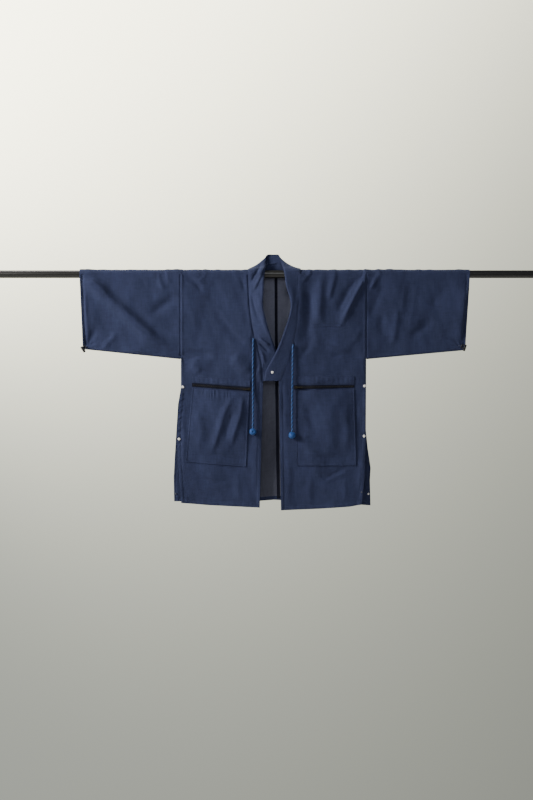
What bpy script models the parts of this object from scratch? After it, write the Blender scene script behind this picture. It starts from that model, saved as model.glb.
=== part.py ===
"""Happi coat hanging flat on a round rod.

Metres, +Z up. The rod's axis is the X axis, the coat's front faces -Y and the
origin is on the rod's axis at the middle of the coat. Left and right are as
seen from the front. A drop is a distance below the rod's axis.
"""

import math
from collections import namedtuple

import bmesh
import bpy
import numpy as np
from mathutils import Matrix, Vector

# Driving sizes
ROD_RADIUS = 0.0125
ROD_LENGTH = 1.80
CLOTH = 0.0015
BAND_CLOTH = 0.0025
TAPE_CLOTH = 0.001
SEAM_GAP = 0.0005
LAY_GAP = 0.00035
NECK_X = 0.078
SLEEVE_GAP = 0.00025
VENT_TOP = 0.361
HEM_MEAN = 0.740
HEM_START = 0.400
CORD_DIAMETER = 0.0065
KNOT_RADIUS = 0.0112
SNAP_RADIUS = 0.005
SNAP_HEIGHT = 0.002

# The cloth's middle surface runs round the rod at this radius, clear of it on flat facets
WRAP_RADIUS = ROD_RADIUS + 0.0006 + CLOTH / 2
TIGHT_GAP = 0.0062
FOLD_ROUND = 0.006
TAPER_REACH = 0.20
EDGE_GAP = 0.0005
LEAST_GAP = 0.003

Side = namedtuple("Side", "sign armhole_x cuff_top_x cuff_low_x sleeve_low cuff_low seam_x")
SIDES = {
    "left": Side(-1, -0.2998, -0.6214, -0.6118, 0.2714, 0.2394, -0.2984),
    "right": Side(1, 0.2955, 0.6250, 0.6106, 0.2714, 0.2426, 0.2940),
}

Edge = namedtuple("Edge", "drop x")
FRONT_SIDE_EDGE = {
    "left": (Edge(0.2735, -0.2984), Edge(0.361, -0.2982), Edge(0.467, -0.3080),
             Edge(0.528, -0.3105), Edge(0.610, -0.3060), Edge(0.690, -0.3000), Edge(0.740, -0.2966)),
    "right": (Edge(0.2735, 0.2940), Edge(0.361, 0.2938), Edge(0.520, 0.2925),
              Edge(0.660, 0.2875), Edge(0.740, 0.2790)),
}
BACK_SIDE_EDGE = {
    "left": (Edge(0.2735, -0.2984), Edge(0.361, -0.2982), Edge(0.416, -0.3078),
             Edge(0.518, -0.3142), Edge(0.595, -0.3190), Edge(0.660, -0.3220), Edge(0.740, -0.3205)),
    "right": (Edge(0.2735, 0.2940), Edge(0.361, 0.2938), Edge(0.500, 0.2940),
              Edge(0.560, 0.3005), Edge(0.620, 0.3095), Edge(0.660, 0.3070), Edge(0.740, 0.3090)),
}
# The front panel's inner edge: under the collar band first, then the free front edge
FRONT_INNER_EDGE = {
    "left": (Edge(0.0, -0.0780), Edge(0.035, -0.0760), Edge(0.099, -0.0724), Edge(0.163, -0.0650),
             Edge(0.204, -0.0561), Edge(0.233, -0.0471), Edge(0.278, -0.0353), Edge(0.325, -0.0315),
             Edge(0.345, -0.0355), Edge(0.745, -0.0464)),
    "right": (Edge(0.0, 0.0780), Edge(0.083, 0.0766), Edge(0.131, 0.0718), Edge(0.179, 0.0654),
              Edge(0.223, 0.0561), Edge(0.268, 0.0414), Edge(0.310, 0.0254), Edge(0.345, 0.0155),
              Edge(0.755, 0.0218)),
}
CENTRE_BACK = (Edge(-0.040, 0.0045), Edge(0.020, 0.0058), Edge(0.355, 0.0077), Edge(0.723, 0.0132))

Hem = namedtuple("Hem", "x drop")
FRONT_HEM = {
    "left": (Hem(-0.300, 0.7310), Hem(-0.205, 0.7386), Hem(-0.046, 0.7462)),
    "right": (Hem(0.022, 0.7548), Hem(0.146, 0.7498), Hem(0.240, 0.7434), Hem(0.280, 0.7363)),
}
BACK_HEM = (Hem(-0.320, 0.7274), Hem(-0.045, 0.7258), Hem(0.000, 0.7222), Hem(0.150, 0.7300),
            Hem(0.309, 0.7404))

# The back neckline, from the shoulder to the centre back, as the edge of the left half
Neck = namedtuple("Neck", "share y z")
BACK_NECKLINE = (Neck(0.0, 0.0, WRAP_RADIUS), Neck(0.22, 0.0093, 0.0190), Neck(0.48, 0.0170, 0.0290),
                 Neck(0.75, 0.0215, 0.0355), Neck(1.0, 0.0232, 0.0380))
# Past this share of the way to the centre back, the cloth leans straight instead of turning over
LEAN_SHARE = 0.6

# Largest folds: a line in the coat's plane, its half width and how far it stands out or sinks
Fold = namedtuple("Fold", "x0 drop0 x1 drop1 width depth")
FRONT_FOLDS = (
    Fold(-0.585, 0.030, -0.315, 0.228, 0.020, -0.0035),
    Fold(-0.590, 0.055, -0.360, 0.232, 0.020, 0.0045),
    Fold(-0.355, 0.070, -0.400, 0.135, 0.018, -0.0030),
    Fold(-0.262, 0.030, -0.235, 0.055, 0.020, -0.0025),
    Fold(-0.170, 0.140, -0.100, 0.235, 0.022, -0.0035),
    Fold(-0.290, 0.280, -0.135, 0.262, 0.018, -0.0030),
    Fold(0.133, 0.020, 0.128, 0.150, 0.018, 0.0055),
    Fold(0.190, 0.020, 0.156, 0.090, 0.018, 0.0045),
    Fold(0.285, 0.025, 0.206, 0.165, 0.016, 0.0075),
    Fold(0.262, 0.020, 0.215, 0.115, 0.018, -0.0035),
    Fold(0.104, 0.040, 0.104, 0.225, 0.016, -0.0030),
    Fold(0.330, 0.030, 0.308, 0.100, 0.018, 0.0050),
    Fold(0.600, 0.040, 0.570, 0.205, 0.022, 0.0040),
    Fold(0.553, 0.035, 0.465, 0.175, 0.022, -0.0035),
    Fold(0.400, 0.225, 0.375, 0.180, 0.020, 0.0035),
)
BACK_FOLDS = (
    Fold(-0.590, 0.050, -0.330, 0.215, 0.022, 0.0040),
    Fold(-0.270, 0.030, -0.215, 0.170, 0.020, 0.0050),
    Fold(-0.120, 0.050, -0.150, 0.300, 0.022, 0.0045),
    Fold(-0.215, 0.300, -0.200, 0.640, 0.026, 0.0050),
    Fold(-0.080, 0.380, -0.095, 0.700, 0.026, -0.0035),
    Fold(0.075, 0.120, 0.095, 0.420, 0.024, 0.0045),
    Fold(0.180, 0.340, 0.200, 0.690, 0.026, 0.0055),
    Fold(0.275, 0.030, 0.190, 0.180, 0.018, 0.0060),
    Fold(0.560, 0.040, 0.400, 0.200, 0.022, 0.0045),
)

# Columns near the outer edge, in metres inward, and rows below the shoulder turn
EDGE_STEPS = (0.0, 0.0015, 0.0045, 0.010, 0.022)
OUTER_COLUMNS = 9
NECK_COLUMNS = 4
TURN_STEPS = 4
ROW_DROPS = (0.018, 0.045, 0.075, 0.105, 0.135, 0.165, 0.195, 0.223, 0.247, 0.262, 0.2695, 0.2735,
             0.285, 0.310, 0.340, 0.361, 0.385, 0.425, 0.470, 0.520, 0.570, 0.620, 0.665, 0.705, 0.740)

# Sleeve sections from armhole to cuff, rows down each, and the last ones above the lower edge
SLEEVE_SHARES = (0.0, 0.06, 0.15, 0.26, 0.37, 0.48, 0.59, 0.70, 0.80, 0.90, 1.0)
SLEEVE_ROWS = (0.07, 0.17, 0.28, 0.39, 0.50, 0.61, 0.72, 0.83, 0.92)
FOLD_LIFTS = (0.0060, 0.0026, 0.0008)

# Collar band stations: seam edge and free edge, from the left end round the neck to the right end
Station = namedtuple("Station", "seam_x seam_y seam_z free_x free_y free_z")
COLLAR = (
    Station(-0.0360, -0.0164, -0.3420, 0.0095, -0.0130, -0.3420),
    Station(-0.0385, -0.0164, -0.3100, 0.0110, -0.0130, -0.3080),
    Station(-0.0413, -0.0164, -0.2778, 0.0105, -0.0134, -0.2700),
    Station(-0.0531, -0.0163, -0.2330, 0.0015, -0.0142, -0.2330),
    Station(-0.0621, -0.0163, -0.2042, -0.0134, -0.0156, -0.1914),
    Station(-0.0710, -0.0163, -0.1626, -0.0262, -0.0166, -0.1466),
    Station(-0.0784, -0.0163, -0.0986, -0.0358, -0.0180, -0.1018),
    Station(-0.0819, -0.0164, -0.0346, -0.0335, -0.0188, -0.0314),
    Station(-0.0830, -0.0166, 0.0000, -0.0310, -0.0180, 0.0020),
    Station(-0.0836, -0.0120, 0.0120, -0.0288, -0.0125, 0.0160),
    Station(-0.0838, 0.0000, 0.0169, -0.0274, -0.0020, 0.0260),
    Station(-0.0775, 0.0090, 0.0155, -0.0266, 0.0080, 0.0360),
    Station(-0.0600, 0.0152, 0.0180, -0.0256, 0.0162, 0.0470),
    Station(-0.0380, 0.0205, 0.0250, -0.0222, 0.0218, 0.0565),
    Station(-0.0154, 0.0243, 0.0310, -0.0135, 0.0255, 0.0628),
    Station(0.0055, 0.0258, 0.0335, -0.0020, 0.0270, 0.0645),
    Station(0.0240, 0.0243, 0.0310, 0.0095, 0.0255, 0.0628),
    Station(0.0430, 0.0205, 0.0250, 0.0172, 0.0218, 0.0560),
    Station(0.0620, 0.0168, 0.0190, 0.0215, 0.0172, 0.0462),
    Station(0.0785, 0.0098, 0.0168, 0.0245, 0.0092, 0.0362),
    Station(0.0842, 0.0000, 0.0174, 0.0275, -0.0020, 0.0262),
    Station(0.0842, -0.0120, 0.0120, 0.0298, -0.0125, 0.0155),
    Station(0.0838, -0.0166, 0.0000, 0.0330, -0.0182, 0.0010),
    Station(0.0835, -0.0164, -0.0346, 0.0378, -0.0190, -0.0346),
    Station(0.0826, -0.0163, -0.0826, 0.0530, -0.0198, -0.0922),
    Station(0.0778, -0.0163, -0.1306, 0.0480, -0.0198, -0.1350),
    Station(0.0714, -0.0163, -0.1786, 0.0314, -0.0194, -0.1850),
    Station(0.0621, -0.0163, -0.2234, 0.0186, -0.0195, -0.2202),
    Station(0.0474, -0.0163, -0.2682, 0.0026, -0.0196, -0.2554),
    Station(0.0314, -0.0164, -0.3098, -0.0250, -0.0198, -0.3060),
    Station(0.0186, -0.0166, -0.3420, -0.0330, -0.0198, -0.3410),
)
COLLAR_ROWS = 56
COLLAR_ACROSS = 3

# Corners of what lies on the front, each as a point of the coat's plane
Corner = namedtuple("Corner", "x drop")
POCKETS = {
    "left": (Corner(-0.2618, 0.3640), Corner(-0.0790, 0.3800),
             Corner(-0.0896, 0.6160), Corner(-0.2826, 0.6003)),
    "right": (Corner(0.0685, 0.3730), Corner(0.2560, 0.3670),
              Corner(0.2620, 0.6120), Corner(0.0698, 0.6128)),
}
ZIPS = {
    "left": (Corner(-0.2630, 0.3480), Corner(-0.0752, 0.3622),
             Corner(-0.0752, 0.3750), Corner(-0.2630, 0.3600)),
    "right": (Corner(0.0624, 0.3560), Corner(0.2560, 0.3545),
              Corner(0.2560, 0.3630), Corner(0.0624, 0.3690)),
}
STRIPS = {
    "left": (Corner(-0.2620, 0.3260), Corner(-0.0770, 0.3400),
             Corner(-0.0770, 0.3610), Corner(-0.2620, 0.3465)),
    "right": (Corner(0.0700, 0.3260), Corner(0.2560, 0.3260),
              Corner(0.2560, 0.3530), Corner(0.0700, 0.3545)),
}
WELT = (Corner(0.1180, 0.1610), Corner(0.2140, 0.1610), Corner(0.2140, 0.1680), Corner(0.1180, 0.1680))
POCKET_PUFF = 0.005
POCKET_STEPS = (9, 10)
POCKET_FOLDS = {
    "left": (Fold(-0.129, 0.385, -0.202, 0.585, 0.014, 0.0040),
             Fold(-0.098, 0.385, -0.138, 0.560, 0.012, 0.0035)),
    "right": (Fold(0.100, 0.400, 0.126, 0.510, 0.014, 0.0040),
              Fold(0.190, 0.420, 0.175, 0.520, 0.018, 0.0020)),
}

# Zip sliders and their pull tabs: where each tab turns and which way it lies
Pull = namedtuple("Pull", "pivot_x pivot_drop points_to")
PULLS = {"left": Pull(-0.0800, 0.3682, -1), "right": Pull(0.0700, 0.3622, 1)}
SLIDER_SIZE = (0.0095, 0.0035, 0.0080)
TAB_LENGTH = 0.0205
TAB_HEIGHT = 0.0052
TAB_THICKNESS = 0.0015
TAB_GAP = 0.0004
TAB_HEEL = 0.0007

SnapPlace = namedtuple("SnapPlace", "name side face x drop")
SNAPS = (
    SnapPlace("snap_left_top", "left", "front", -0.2925, 0.3610),
    SnapPlace("snap_left_middle", "left", "front", -0.3040, 0.5270),
    SnapPlace("snap_left_low", "left", "back", -0.3150, 0.7030),
    SnapPlace("snap_right_top", "right", "front", 0.2885, 0.3575),
    SnapPlace("snap_right_middle", "right", "front", 0.2870, 0.5178),
    SnapPlace("snap_right_low", "right", "front", 0.2790, 0.6970),
    SnapPlace("snap_right_back", "right", "back", 0.3020, 0.7034),
)
COLLAR_SNAP = (-0.0061, -0.3142)
COLLAR_SNAP_Y = -0.0212
WELT_LIFT = 0.0005

# Cord routes, top to bottom: each row is a point of the cord's middle line
Route = namedtuple("Route", "x y z")
CORDS = {
    "left": (Route(-0.0668, -0.0186, -0.2050), Route(-0.0672, -0.0190, -0.2400),
             Route(-0.0678, -0.0196, -0.2900), Route(-0.0678, -0.0202, -0.3400),
             Route(-0.0674, -0.0210, -0.3900), Route(-0.0672, -0.0228, -0.4400),
             Route(-0.0676, -0.0250, -0.4750), Route(-0.0680, -0.0261, -0.4925)),
    "right": (Route(0.0600, -0.0212, -0.2250), Route(0.0590, -0.0212, -0.2500),
              Route(0.0586, -0.0208, -0.2900), Route(0.0582, -0.0206, -0.3400),
              Route(0.0576, -0.0210, -0.3900), Route(0.0572, -0.0228, -0.4450),
              Route(0.0576, -0.0250, -0.4860), Route(0.0570, -0.0261, -0.5035)),
}
CORD_POINTS = 22
TOGGLE_SIZE = (0.0085, 0.0060, 0.0210)
TOGGLES = {"left": (-0.6105, 0.2410, math.radians(-34)), "right": (0.6085, 0.2360, math.radians(18))}

MATERIALS = {
    "indigo_cloth": ((0.026, 0.038, 0.088, 1.0), 0.85, 0.0),
    "black_tape": ((0.010, 0.010, 0.010, 1.0), 0.80, 0.0),
    "blue_cord": ((0.012, 0.120, 0.340, 1.0), 0.60, 0.0),
    "snap_metal": ((0.600, 0.600, 0.620, 1.0), 0.30, 1.0),
    "zip_metal": ((0.330, 0.320, 0.290, 1.0), 0.40, 1.0),
    "rod_black": ((0.012, 0.012, 0.012, 1.0), 0.55, 0.0),
}


def clear_scene():
    for item in list(bpy.data.objects):
        bpy.data.objects.remove(item, do_unlink=True)


def material(name):
    """One Principled material, made on first use."""
    found = bpy.data.materials.get(name)
    if found:
        return found
    colour, roughness, metallic = MATERIALS[name]
    made = bpy.data.materials.new(name)
    made.use_nodes = True
    shader = made.node_tree.nodes["Principled BSDF"]
    shader.inputs["Base Color"].default_value = colour
    shader.inputs["Roughness"].default_value = roughness
    shader.inputs["Metallic"].default_value = metallic
    made.diffuse_color = colour
    return made


def add_object(name, data, finish, collection):
    """Puts new mesh or curve data in the collection with its own material."""
    made = bpy.data.objects.new(name, data)
    made.data.materials.append(material(finish))
    collection.objects.link(made)
    return made


def read_table(rows, value):
    """The second column of a two-column table, at a value of its first."""
    return float(np.interp(value, [row[0] for row in rows], [row[1] for row in rows]))


def smooth_step(value):
    t = min(max(value, 0.0), 1.0)
    return t * t * (3 - 2 * t)


def segment_distance(px, pz, ax, az, bx, bz):
    """Distance from a point to a segment, and how far along it the nearest point is."""
    dx, dz = bx - ax, bz - az
    share = ((px - ax) * dx + (pz - az) * dz) / (dx * dx + dz * dz)
    share = min(max(share, 0.0), 1.0)
    return math.hypot(px - ax - share * dx, pz - az - share * dz), share


def sewn_distance(side, x, drop):
    """Distance to where front and back are sewn: the sleeve's lower edge and the side seam."""
    sleeve, _ = segment_distance(x, drop, side.cuff_low_x, side.cuff_low, side.armhole_x, side.sleeve_low)
    seam, _ = segment_distance(x, drop, side.armhole_x, side.sleeve_low, side.seam_x, VENT_TOP)
    return min(sleeve, seam)


def fold_height(folds, x, drop):
    """Sum of the folds at a point, each a soft ridge or trough that fades at its ends."""
    total = 0.0
    for fold in folds:
        away, share = segment_distance(x, drop, fold.x0, fold.drop0, fold.x1, fold.drop1)
        fade = smooth_step(4 * min(share, 1 - share) + 0.25)
        total += fold.depth * fade * math.exp(-(away / fold.width) ** 2)
    return total


def half_gap(side, face, x, drop):
    """How far the cloth's middle surface stands from the coat's middle plane."""
    away = sewn_distance(side, x, drop)
    spread = TIGHT_GAP + (WRAP_RADIUS - TIGHT_GAP) * smooth_step(away / TAPER_REACH)
    shut = math.sqrt(1 - (1 - min(away / FOLD_ROUND, 1.0)) ** 2)
    folds = FRONT_FOLDS if face == "front" else BACK_FOLDS
    height = fold_height(folds, x, drop) * smooth_step((drop - 0.012) / 0.04)
    height *= smooth_step(away / 0.02)
    return max((spread * shut) + height, min(spread * shut, LEAST_GAP))


def panel_point(side, face, x, drop):
    """A point of a front or back panel at or below the rod's axis."""
    gap = half_gap(side, face, x, drop)
    return Vector((x, -gap if face == "front" else gap, -drop))


def neck_share(side, x):
    """0 at the neck point of the shoulder and outside it, 1 at the centre back."""
    centre = read_table(CENTRE_BACK, 0.0)
    neck = side.sign * NECK_X
    return min(max((x - neck) / (centre - neck), 0.0), 1.0)


def turn_point(side, face, x, turn):
    """A point of the turn over the rod: turn is 0 at the top and 1 at the rod's axis height."""
    share = neck_share(side, x) if face == "back" else 0.0
    top_y = read_table([(row.share, row.y) for row in BACK_NECKLINE], share)
    top_z = read_table([(row.share, row.z) for row in BACK_NECKLINE], share)
    lean = smooth_step(share / LEAN_SHARE)
    angle = turn * math.pi / 2
    y = top_y + (WRAP_RADIUS - top_y) * (math.sin(angle) * (1 - lean) + turn * lean)
    z = top_z * (math.cos(angle) * (1 - lean) + (1 - turn) * lean)
    clear = max(WRAP_RADIUS / math.hypot(y, z), 1.0)
    return Vector((x, -y * clear if face == "front" else y * clear, z * clear))


def outer_edge(side_name, face, drop):
    """x of a panel's outer edge: the armhole, then the side seam and the vent."""
    side = SIDES[side_name]
    if drop < 0.2705:
        return side.armhole_x - side.sign * SLEEVE_GAP
    rows = FRONT_SIDE_EDGE if face == "front" else BACK_SIDE_EDGE
    return read_table(rows[side_name], drop)


def inner_edge(side_name, face, drop):
    """x of a panel's inner edge: neckline and front edge, or the centre-back seam."""
    side = SIDES[side_name]
    if face == "front":
        return read_table(FRONT_INNER_EDGE[side_name], drop)
    return read_table(CENTRE_BACK, drop) + side.sign * SEAM_GAP / 2


def hem_drop(side_name, face, x, row_drop):
    """Stretches the lowest rows so that the last one follows the hem."""
    rows = FRONT_HEM[side_name] if face == "front" else BACK_HEM
    share = max(row_drop - HEM_START, 0.0) / (HEM_MEAN - HEM_START)
    return row_drop + share * (read_table(rows, x) - HEM_MEAN)


def column_places(side, outer, inner, neck=None):
    """x of each column, close together at the outer edge; neck adds the back's inner columns."""
    last = inner if neck is None else neck
    near = [outer - side.sign * step for step in EDGE_STEPS]
    places = near + list(np.linspace(near[-1], last, OUTER_COLUMNS + 1)[1:])
    if neck is not None:
        places += list(np.linspace(neck, inner, NECK_COLUMNS + 1)[1:])
    return places


def panel_grid(side_name, face):
    """Rows of points of one panel, from the shoulder line down to the hem."""
    side = SIDES[side_name]
    neck = None if face == "front" else side.sign * NECK_X
    grid = []
    for step in range(TURN_STEPS + 1):
        places = column_places(side, outer_edge(side_name, face, 0.0), inner_edge(side_name, face, 0.0), neck)
        grid.append([turn_point(side, face, x, step / TURN_STEPS) for x in places])
    for row_drop in ROW_DROPS:
        outer = outer_edge(side_name, face, row_drop)
        places = column_places(side, outer, inner_edge(side_name, face, row_drop), neck)
        row = [panel_point(side, face, x, hem_drop(side_name, face, x, row_drop)) for x in places]
        grid.append([keep_edge_apart(point) for point in row])
    return grid


def keep_edge_apart(point):
    """Holds the front and back edges of a sewn side a hair apart."""
    if abs(point.y) < EDGE_GAP:
        point.y = math.copysign(EDGE_GAP, point.y)
    return point


def add_grid(shape, grid, ring=False):
    """Quads between neighbouring rows of points; ring joins the last row to the first."""
    rows = [[shape.verts.new(point) for point in row] for row in grid]
    if ring:
        rows.append(rows[0])
    for upper, lower in zip(rows, rows[1:]):
        for column in range(len(upper) - 1):
            shape.faces.new((upper[column], upper[column + 1], lower[column + 1], lower[column]))


def shell(name, grids, wall, finish, collection, ring=False):
    """One or more grids welded into an open surface and thickened evenly to both sides."""
    shape = bmesh.new()
    for grid in grids:
        add_grid(shape, grid, ring)
    bmesh.ops.remove_doubles(shape, verts=shape.verts, dist=0.00001)
    bmesh.ops.recalc_face_normals(shape, faces=shape.faces)
    data = bpy.data.meshes.new(name)
    shape.to_mesh(data)
    shape.free()
    made = add_object(name, data, finish, collection)
    thick = made.modifiers.new("cloth thickness", "SOLIDIFY")
    thick.thickness = wall
    thick.offset = 0.0
    return made


def body_half(side_name, collection):
    """Front and back of one side, cut in one over the shoulder."""
    grids = [panel_grid(side_name, "front"), panel_grid(side_name, "back")]
    return shell("body_" + side_name, grids, CLOTH, "indigo_cloth", collection)


def sleeve_low(side, x):
    """Drop of the sleeve's lower edge."""
    share = (x - side.armhole_x) / (side.cuff_low_x - side.armhole_x)
    return side.sleeve_low + share * (side.cuff_low - side.sleeve_low)


def sleeve(side_name, collection):
    """A tube round the rod, from just outside the armhole to the cuff."""
    side = SIDES[side_name]
    start = side.armhole_x + side.sign * SLEEVE_GAP
    grid = []
    for face in ("front", "back"):
        rows = []
        for step in range(TURN_STEPS + 1):
            rows.append([turn_point(side, face, start + share * (side.cuff_top_x - start), step / TURN_STEPS)
                         for share in SLEEVE_SHARES])
        for row_share in SLEEVE_ROWS:
            rows.append(sleeve_row(side, face, start, row_share))
        for lift in FOLD_LIFTS:
            rows.append(sleeve_row(side, face, start, 1.0, lift))
        grid += rows if face == "front" else rows[::-1]
        if face == "front":
            grid.append(sleeve_row(side, "fold", start, 1.0))
    grid.pop()
    return shell("sleeve_" + side_name, [grid], CLOTH, "indigo_cloth", collection, ring=True)


def sleeve_row(side, face, start, row_share, lift=0.0):
    """One row of sleeve points at a share of the depth, a little above the lower edge if lifted."""
    row = []
    for share in SLEEVE_SHARES:
        cuff_x = side.cuff_top_x + row_share * (side.cuff_low_x - side.cuff_top_x)
        x = start + share * (cuff_x - start)
        drop = row_share * sleeve_low(side, x) - lift
        if face == "fold":
            row.append(Vector((x, 0.0, -drop)))
        else:
            row.append(panel_point(side, face, x, drop))
    return row


def spline_points(points, count):
    """Evenly counted points of a smooth curve through the given ones."""
    padded = [2 * points[0] - points[1]] + list(points) + [2 * points[-1] - points[-2]]
    spans = len(points) - 1
    result = []
    for index in range(count):
        place = index / (count - 1) * spans
        span = min(int(place), spans - 1)
        t = place - span
        a, b, c, d = padded[span:span + 4]
        curve = 2 * b + (c - a) * t + (2 * a - 5 * b + 4 * c - d) * t ** 2 + (3 * b - a - 3 * c + d) * t ** 3
        result.append(curve / 2)
    return result


def collar(collection):
    """The double band round the neck, its two ends crossing at the chest."""
    seam = [Vector((row.seam_x, row.seam_y, row.seam_z)) for row in COLLAR]
    free = [Vector((row.free_x, row.free_y, row.free_z)) for row in COLLAR]
    grid = []
    for low, high in zip(spline_points(seam, COLLAR_ROWS), spline_points(free, COLLAR_ROWS)):
        grid.append([low.lerp(high, step / COLLAR_ACROSS) for step in range(COLLAR_ACROSS + 1)])
    return shell("collar", [grid], BAND_CLOTH, "indigo_cloth", collection)


def neck_facing(collection):
    """The strip inside the back of the neck, just under the collar seam."""
    grid = []
    for x in np.linspace(-0.042, 0.049, 11):
        side = SIDES["left"] if x < read_table(CENTRE_BACK, 0.0) else SIDES["right"]
        row = []
        for turn in (0.08, 0.25, 0.50, 0.66):
            point = turn_point(side, "back", x, turn)
            row.append(point - Vector((0.0, (CLOTH + TAPE_CLOTH) / 2 + 2 * LAY_GAP, 0.0)))
        grid.append(row)
    return shell("neck_facing", [grid], TAPE_CLOTH, "indigo_cloth", collection)


def back_seam_tape(collection):
    """The tape over the centre-back seam, on the inside."""
    half_width = 0.0045
    inward = (CLOTH + TAPE_CLOTH) / 2 + LAY_GAP
    grid = []
    for drop in np.linspace(0.018, 0.7185, 22):
        x = read_table(CENTRE_BACK, drop)
        row = []
        for place in (x - half_width, x, x + half_width):
            side = SIDES["left"] if place < x else SIDES["right"]
            point = panel_point(side, "back", place, drop)
            row.append(point - Vector((0.0, inward, 0.0)))
        grid.append(row)
    return shell("back_seam_tape", [grid], TAPE_CLOTH, "black_tape", collection)


def patch(name, side_name, corners, steps, wall, finish, collection, lift, puff=0.0, folds=()):
    """A four-cornered piece laid on a front panel, made from the panel's points and moved out."""
    side = SIDES[side_name]
    top_left, top_right, low_right, low_left = corners
    grid = []
    for down in np.linspace(0.0, 1.0, steps[1] + 1):
        row = []
        for across in np.linspace(0.0, 1.0, steps[0] + 1):
            top_x = top_left.x + across * (top_right.x - top_left.x)
            top_drop = top_left.drop + across * (top_right.drop - top_left.drop)
            low_x = low_left.x + across * (low_right.x - low_left.x)
            low_drop = low_left.drop + across * (low_right.drop - low_left.drop)
            x = top_x + down * (low_x - top_x)
            drop = top_drop + down * (low_drop - top_drop)
            swell = puff * math.sqrt(math.sin(math.pi * across) * math.sin(math.pi * min(down + 0.12, 1.0)))
            inside = smooth_step(8 * min(across, 1 - across)) * smooth_step(8 * min(down, 1 - down))
            out = lift + swell + inside * fold_height(folds, x, drop)
            row.append(panel_point(side, "front", x, drop) - Vector((0.0, out, 0.0)))
        grid.append(row)
    return shell(name, [grid], wall, finish, collection)


def front_pieces(side_name, collection):
    """Pocket, strip above the zip and zip tape of one front."""
    lift = CLOTH + LAY_GAP
    patch("pocket_" + side_name, side_name, POCKETS[side_name], POCKET_STEPS, CLOTH, "indigo_cloth",
          collection, lift, POCKET_PUFF, POCKET_FOLDS[side_name])
    patch("pocket_strip_" + side_name, side_name, STRIPS[side_name], (9, 2), CLOTH, "indigo_cloth",
          collection, lift)
    patch("zip_tape_" + side_name, side_name, ZIPS[side_name], (9, 1), CLOTH, "black_tape",
          collection, lift)


def block(name, size, centre, turn, bevel, finish, collection):
    """A box with softened edges, centred and then turned about the Y axis."""
    shape = bmesh.new()
    bmesh.ops.create_cube(shape, size=1.0)
    bmesh.ops.scale(shape, verts=shape.verts, vec=size)
    data = bpy.data.meshes.new(name)
    shape.to_mesh(data)
    shape.free()
    made = add_object(name, data, finish, collection)
    made.location = centre
    made.rotation_euler = (0.0, turn, 0.0)
    soft = made.modifiers.new("soft edges", "BEVEL")
    soft.width = bevel
    soft.segments = 1
    return made


def zip_pull(side_name, collection):
    """The slider on the tape and the pull tab that turns on it."""
    pull = PULLS[side_name]
    side = SIDES[side_name]
    tape_front = panel_point(side, "front", pull.pivot_x, pull.pivot_drop).y - CLOTH - LAY_GAP - CLOTH / 2
    slider_y = tape_front - LAY_GAP - SLIDER_SIZE[1] / 2
    slider_x = pull.pivot_x - pull.points_to * 0.001
    block("zip_slider_" + side_name, SLIDER_SIZE, (slider_x, slider_y, -pull.pivot_drop), 0.0, 0.0006,
          "zip_metal", collection)
    tab_y = slider_y - SLIDER_SIZE[1] / 2 - TAB_GAP - TAB_THICKNESS / 2
    tab = block("pull_tab_" + side_name, (TAB_LENGTH, TAB_THICKNESS, TAB_HEIGHT),
                (pull.pivot_x, tab_y, -pull.pivot_drop), 0.0, 0.0003, "zip_metal", collection)
    slide = pull.points_to * (TAB_LENGTH / 2 - TAB_HEEL)
    tab.data.transform(Matrix.Translation((slide, 0.0, 0.0)))
    return tab


def turned_disc(name, radius, height, place, collection):
    """A low round cap whose axis is the Y axis."""
    shape = bmesh.new()
    bmesh.ops.create_cone(shape, cap_ends=True, segments=14, radius1=radius, radius2=0.75 * radius,
                          depth=height)
    data = bpy.data.meshes.new(name)
    shape.to_mesh(data)
    shape.free()
    made = add_object(name, data, "snap_metal", collection)
    made.location = place
    made.rotation_euler = (math.radians(90), 0.0, 0.0)
    return made


def lowest_front(side_name, face, x, drop, radius):
    """How far the panel's outer face stands out anywhere under a round piece."""
    side = SIDES[side_name]
    reach = []
    for step in range(8):
        angle = step * math.pi / 4
        point = panel_point(side, face, x + radius * math.cos(angle), drop + radius * math.sin(angle))
        reach.append(abs(point.y))
    return max(reach) + CLOTH / 2


def snaps(collection):
    """Snap caps along the vents, and the one that holds the collar's ends together."""
    for snap in SNAPS:
        stand = lowest_front(snap.side, snap.face, snap.x, snap.drop, SNAP_RADIUS) + LAY_GAP + SNAP_HEIGHT / 2
        if snap.face == "back":
            stand = stand - CLOTH - 2 * LAY_GAP - SNAP_HEIGHT
        y = -stand if snap.face == "front" else stand
        turned_disc(snap.name, SNAP_RADIUS, SNAP_HEIGHT, (snap.x, y, -snap.drop), collection)
    x, z = COLLAR_SNAP
    turned_disc("snap_collar", SNAP_RADIUS, SNAP_HEIGHT, (x, COLLAR_SNAP_Y, z), collection)


def cord(side_name, collection):
    """A cord hanging from the collar seam, and the ball knot at its end."""
    route = [Vector((row.x, row.y, row.z)) for row in CORDS[side_name]]
    data = bpy.data.curves.new("cord_" + side_name, "CURVE")
    data.dimensions = "3D"
    line = data.splines.new("POLY")
    points = spline_points(route, CORD_POINTS)
    line.points.add(len(points) - 1)
    for place, point in zip(line.points, points):
        place.co = (point.x, point.y, point.z, 1.0)
    data.bevel_depth = CORD_DIAMETER / 2
    data.bevel_resolution = 2
    data.use_fill_caps = True
    add_object("cord_" + side_name, data, "blue_cord", collection)

    shape = bmesh.new()
    bmesh.ops.create_uvsphere(shape, u_segments=14, v_segments=10, radius=KNOT_RADIUS)
    ball = bpy.data.meshes.new("knot_" + side_name)
    shape.to_mesh(ball)
    shape.free()
    knot = add_object("knot_" + side_name, ball, "blue_cord", collection)
    knot.location = route[-1] - Vector((0.0, 0.0, KNOT_RADIUS + LAY_GAP))


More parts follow.
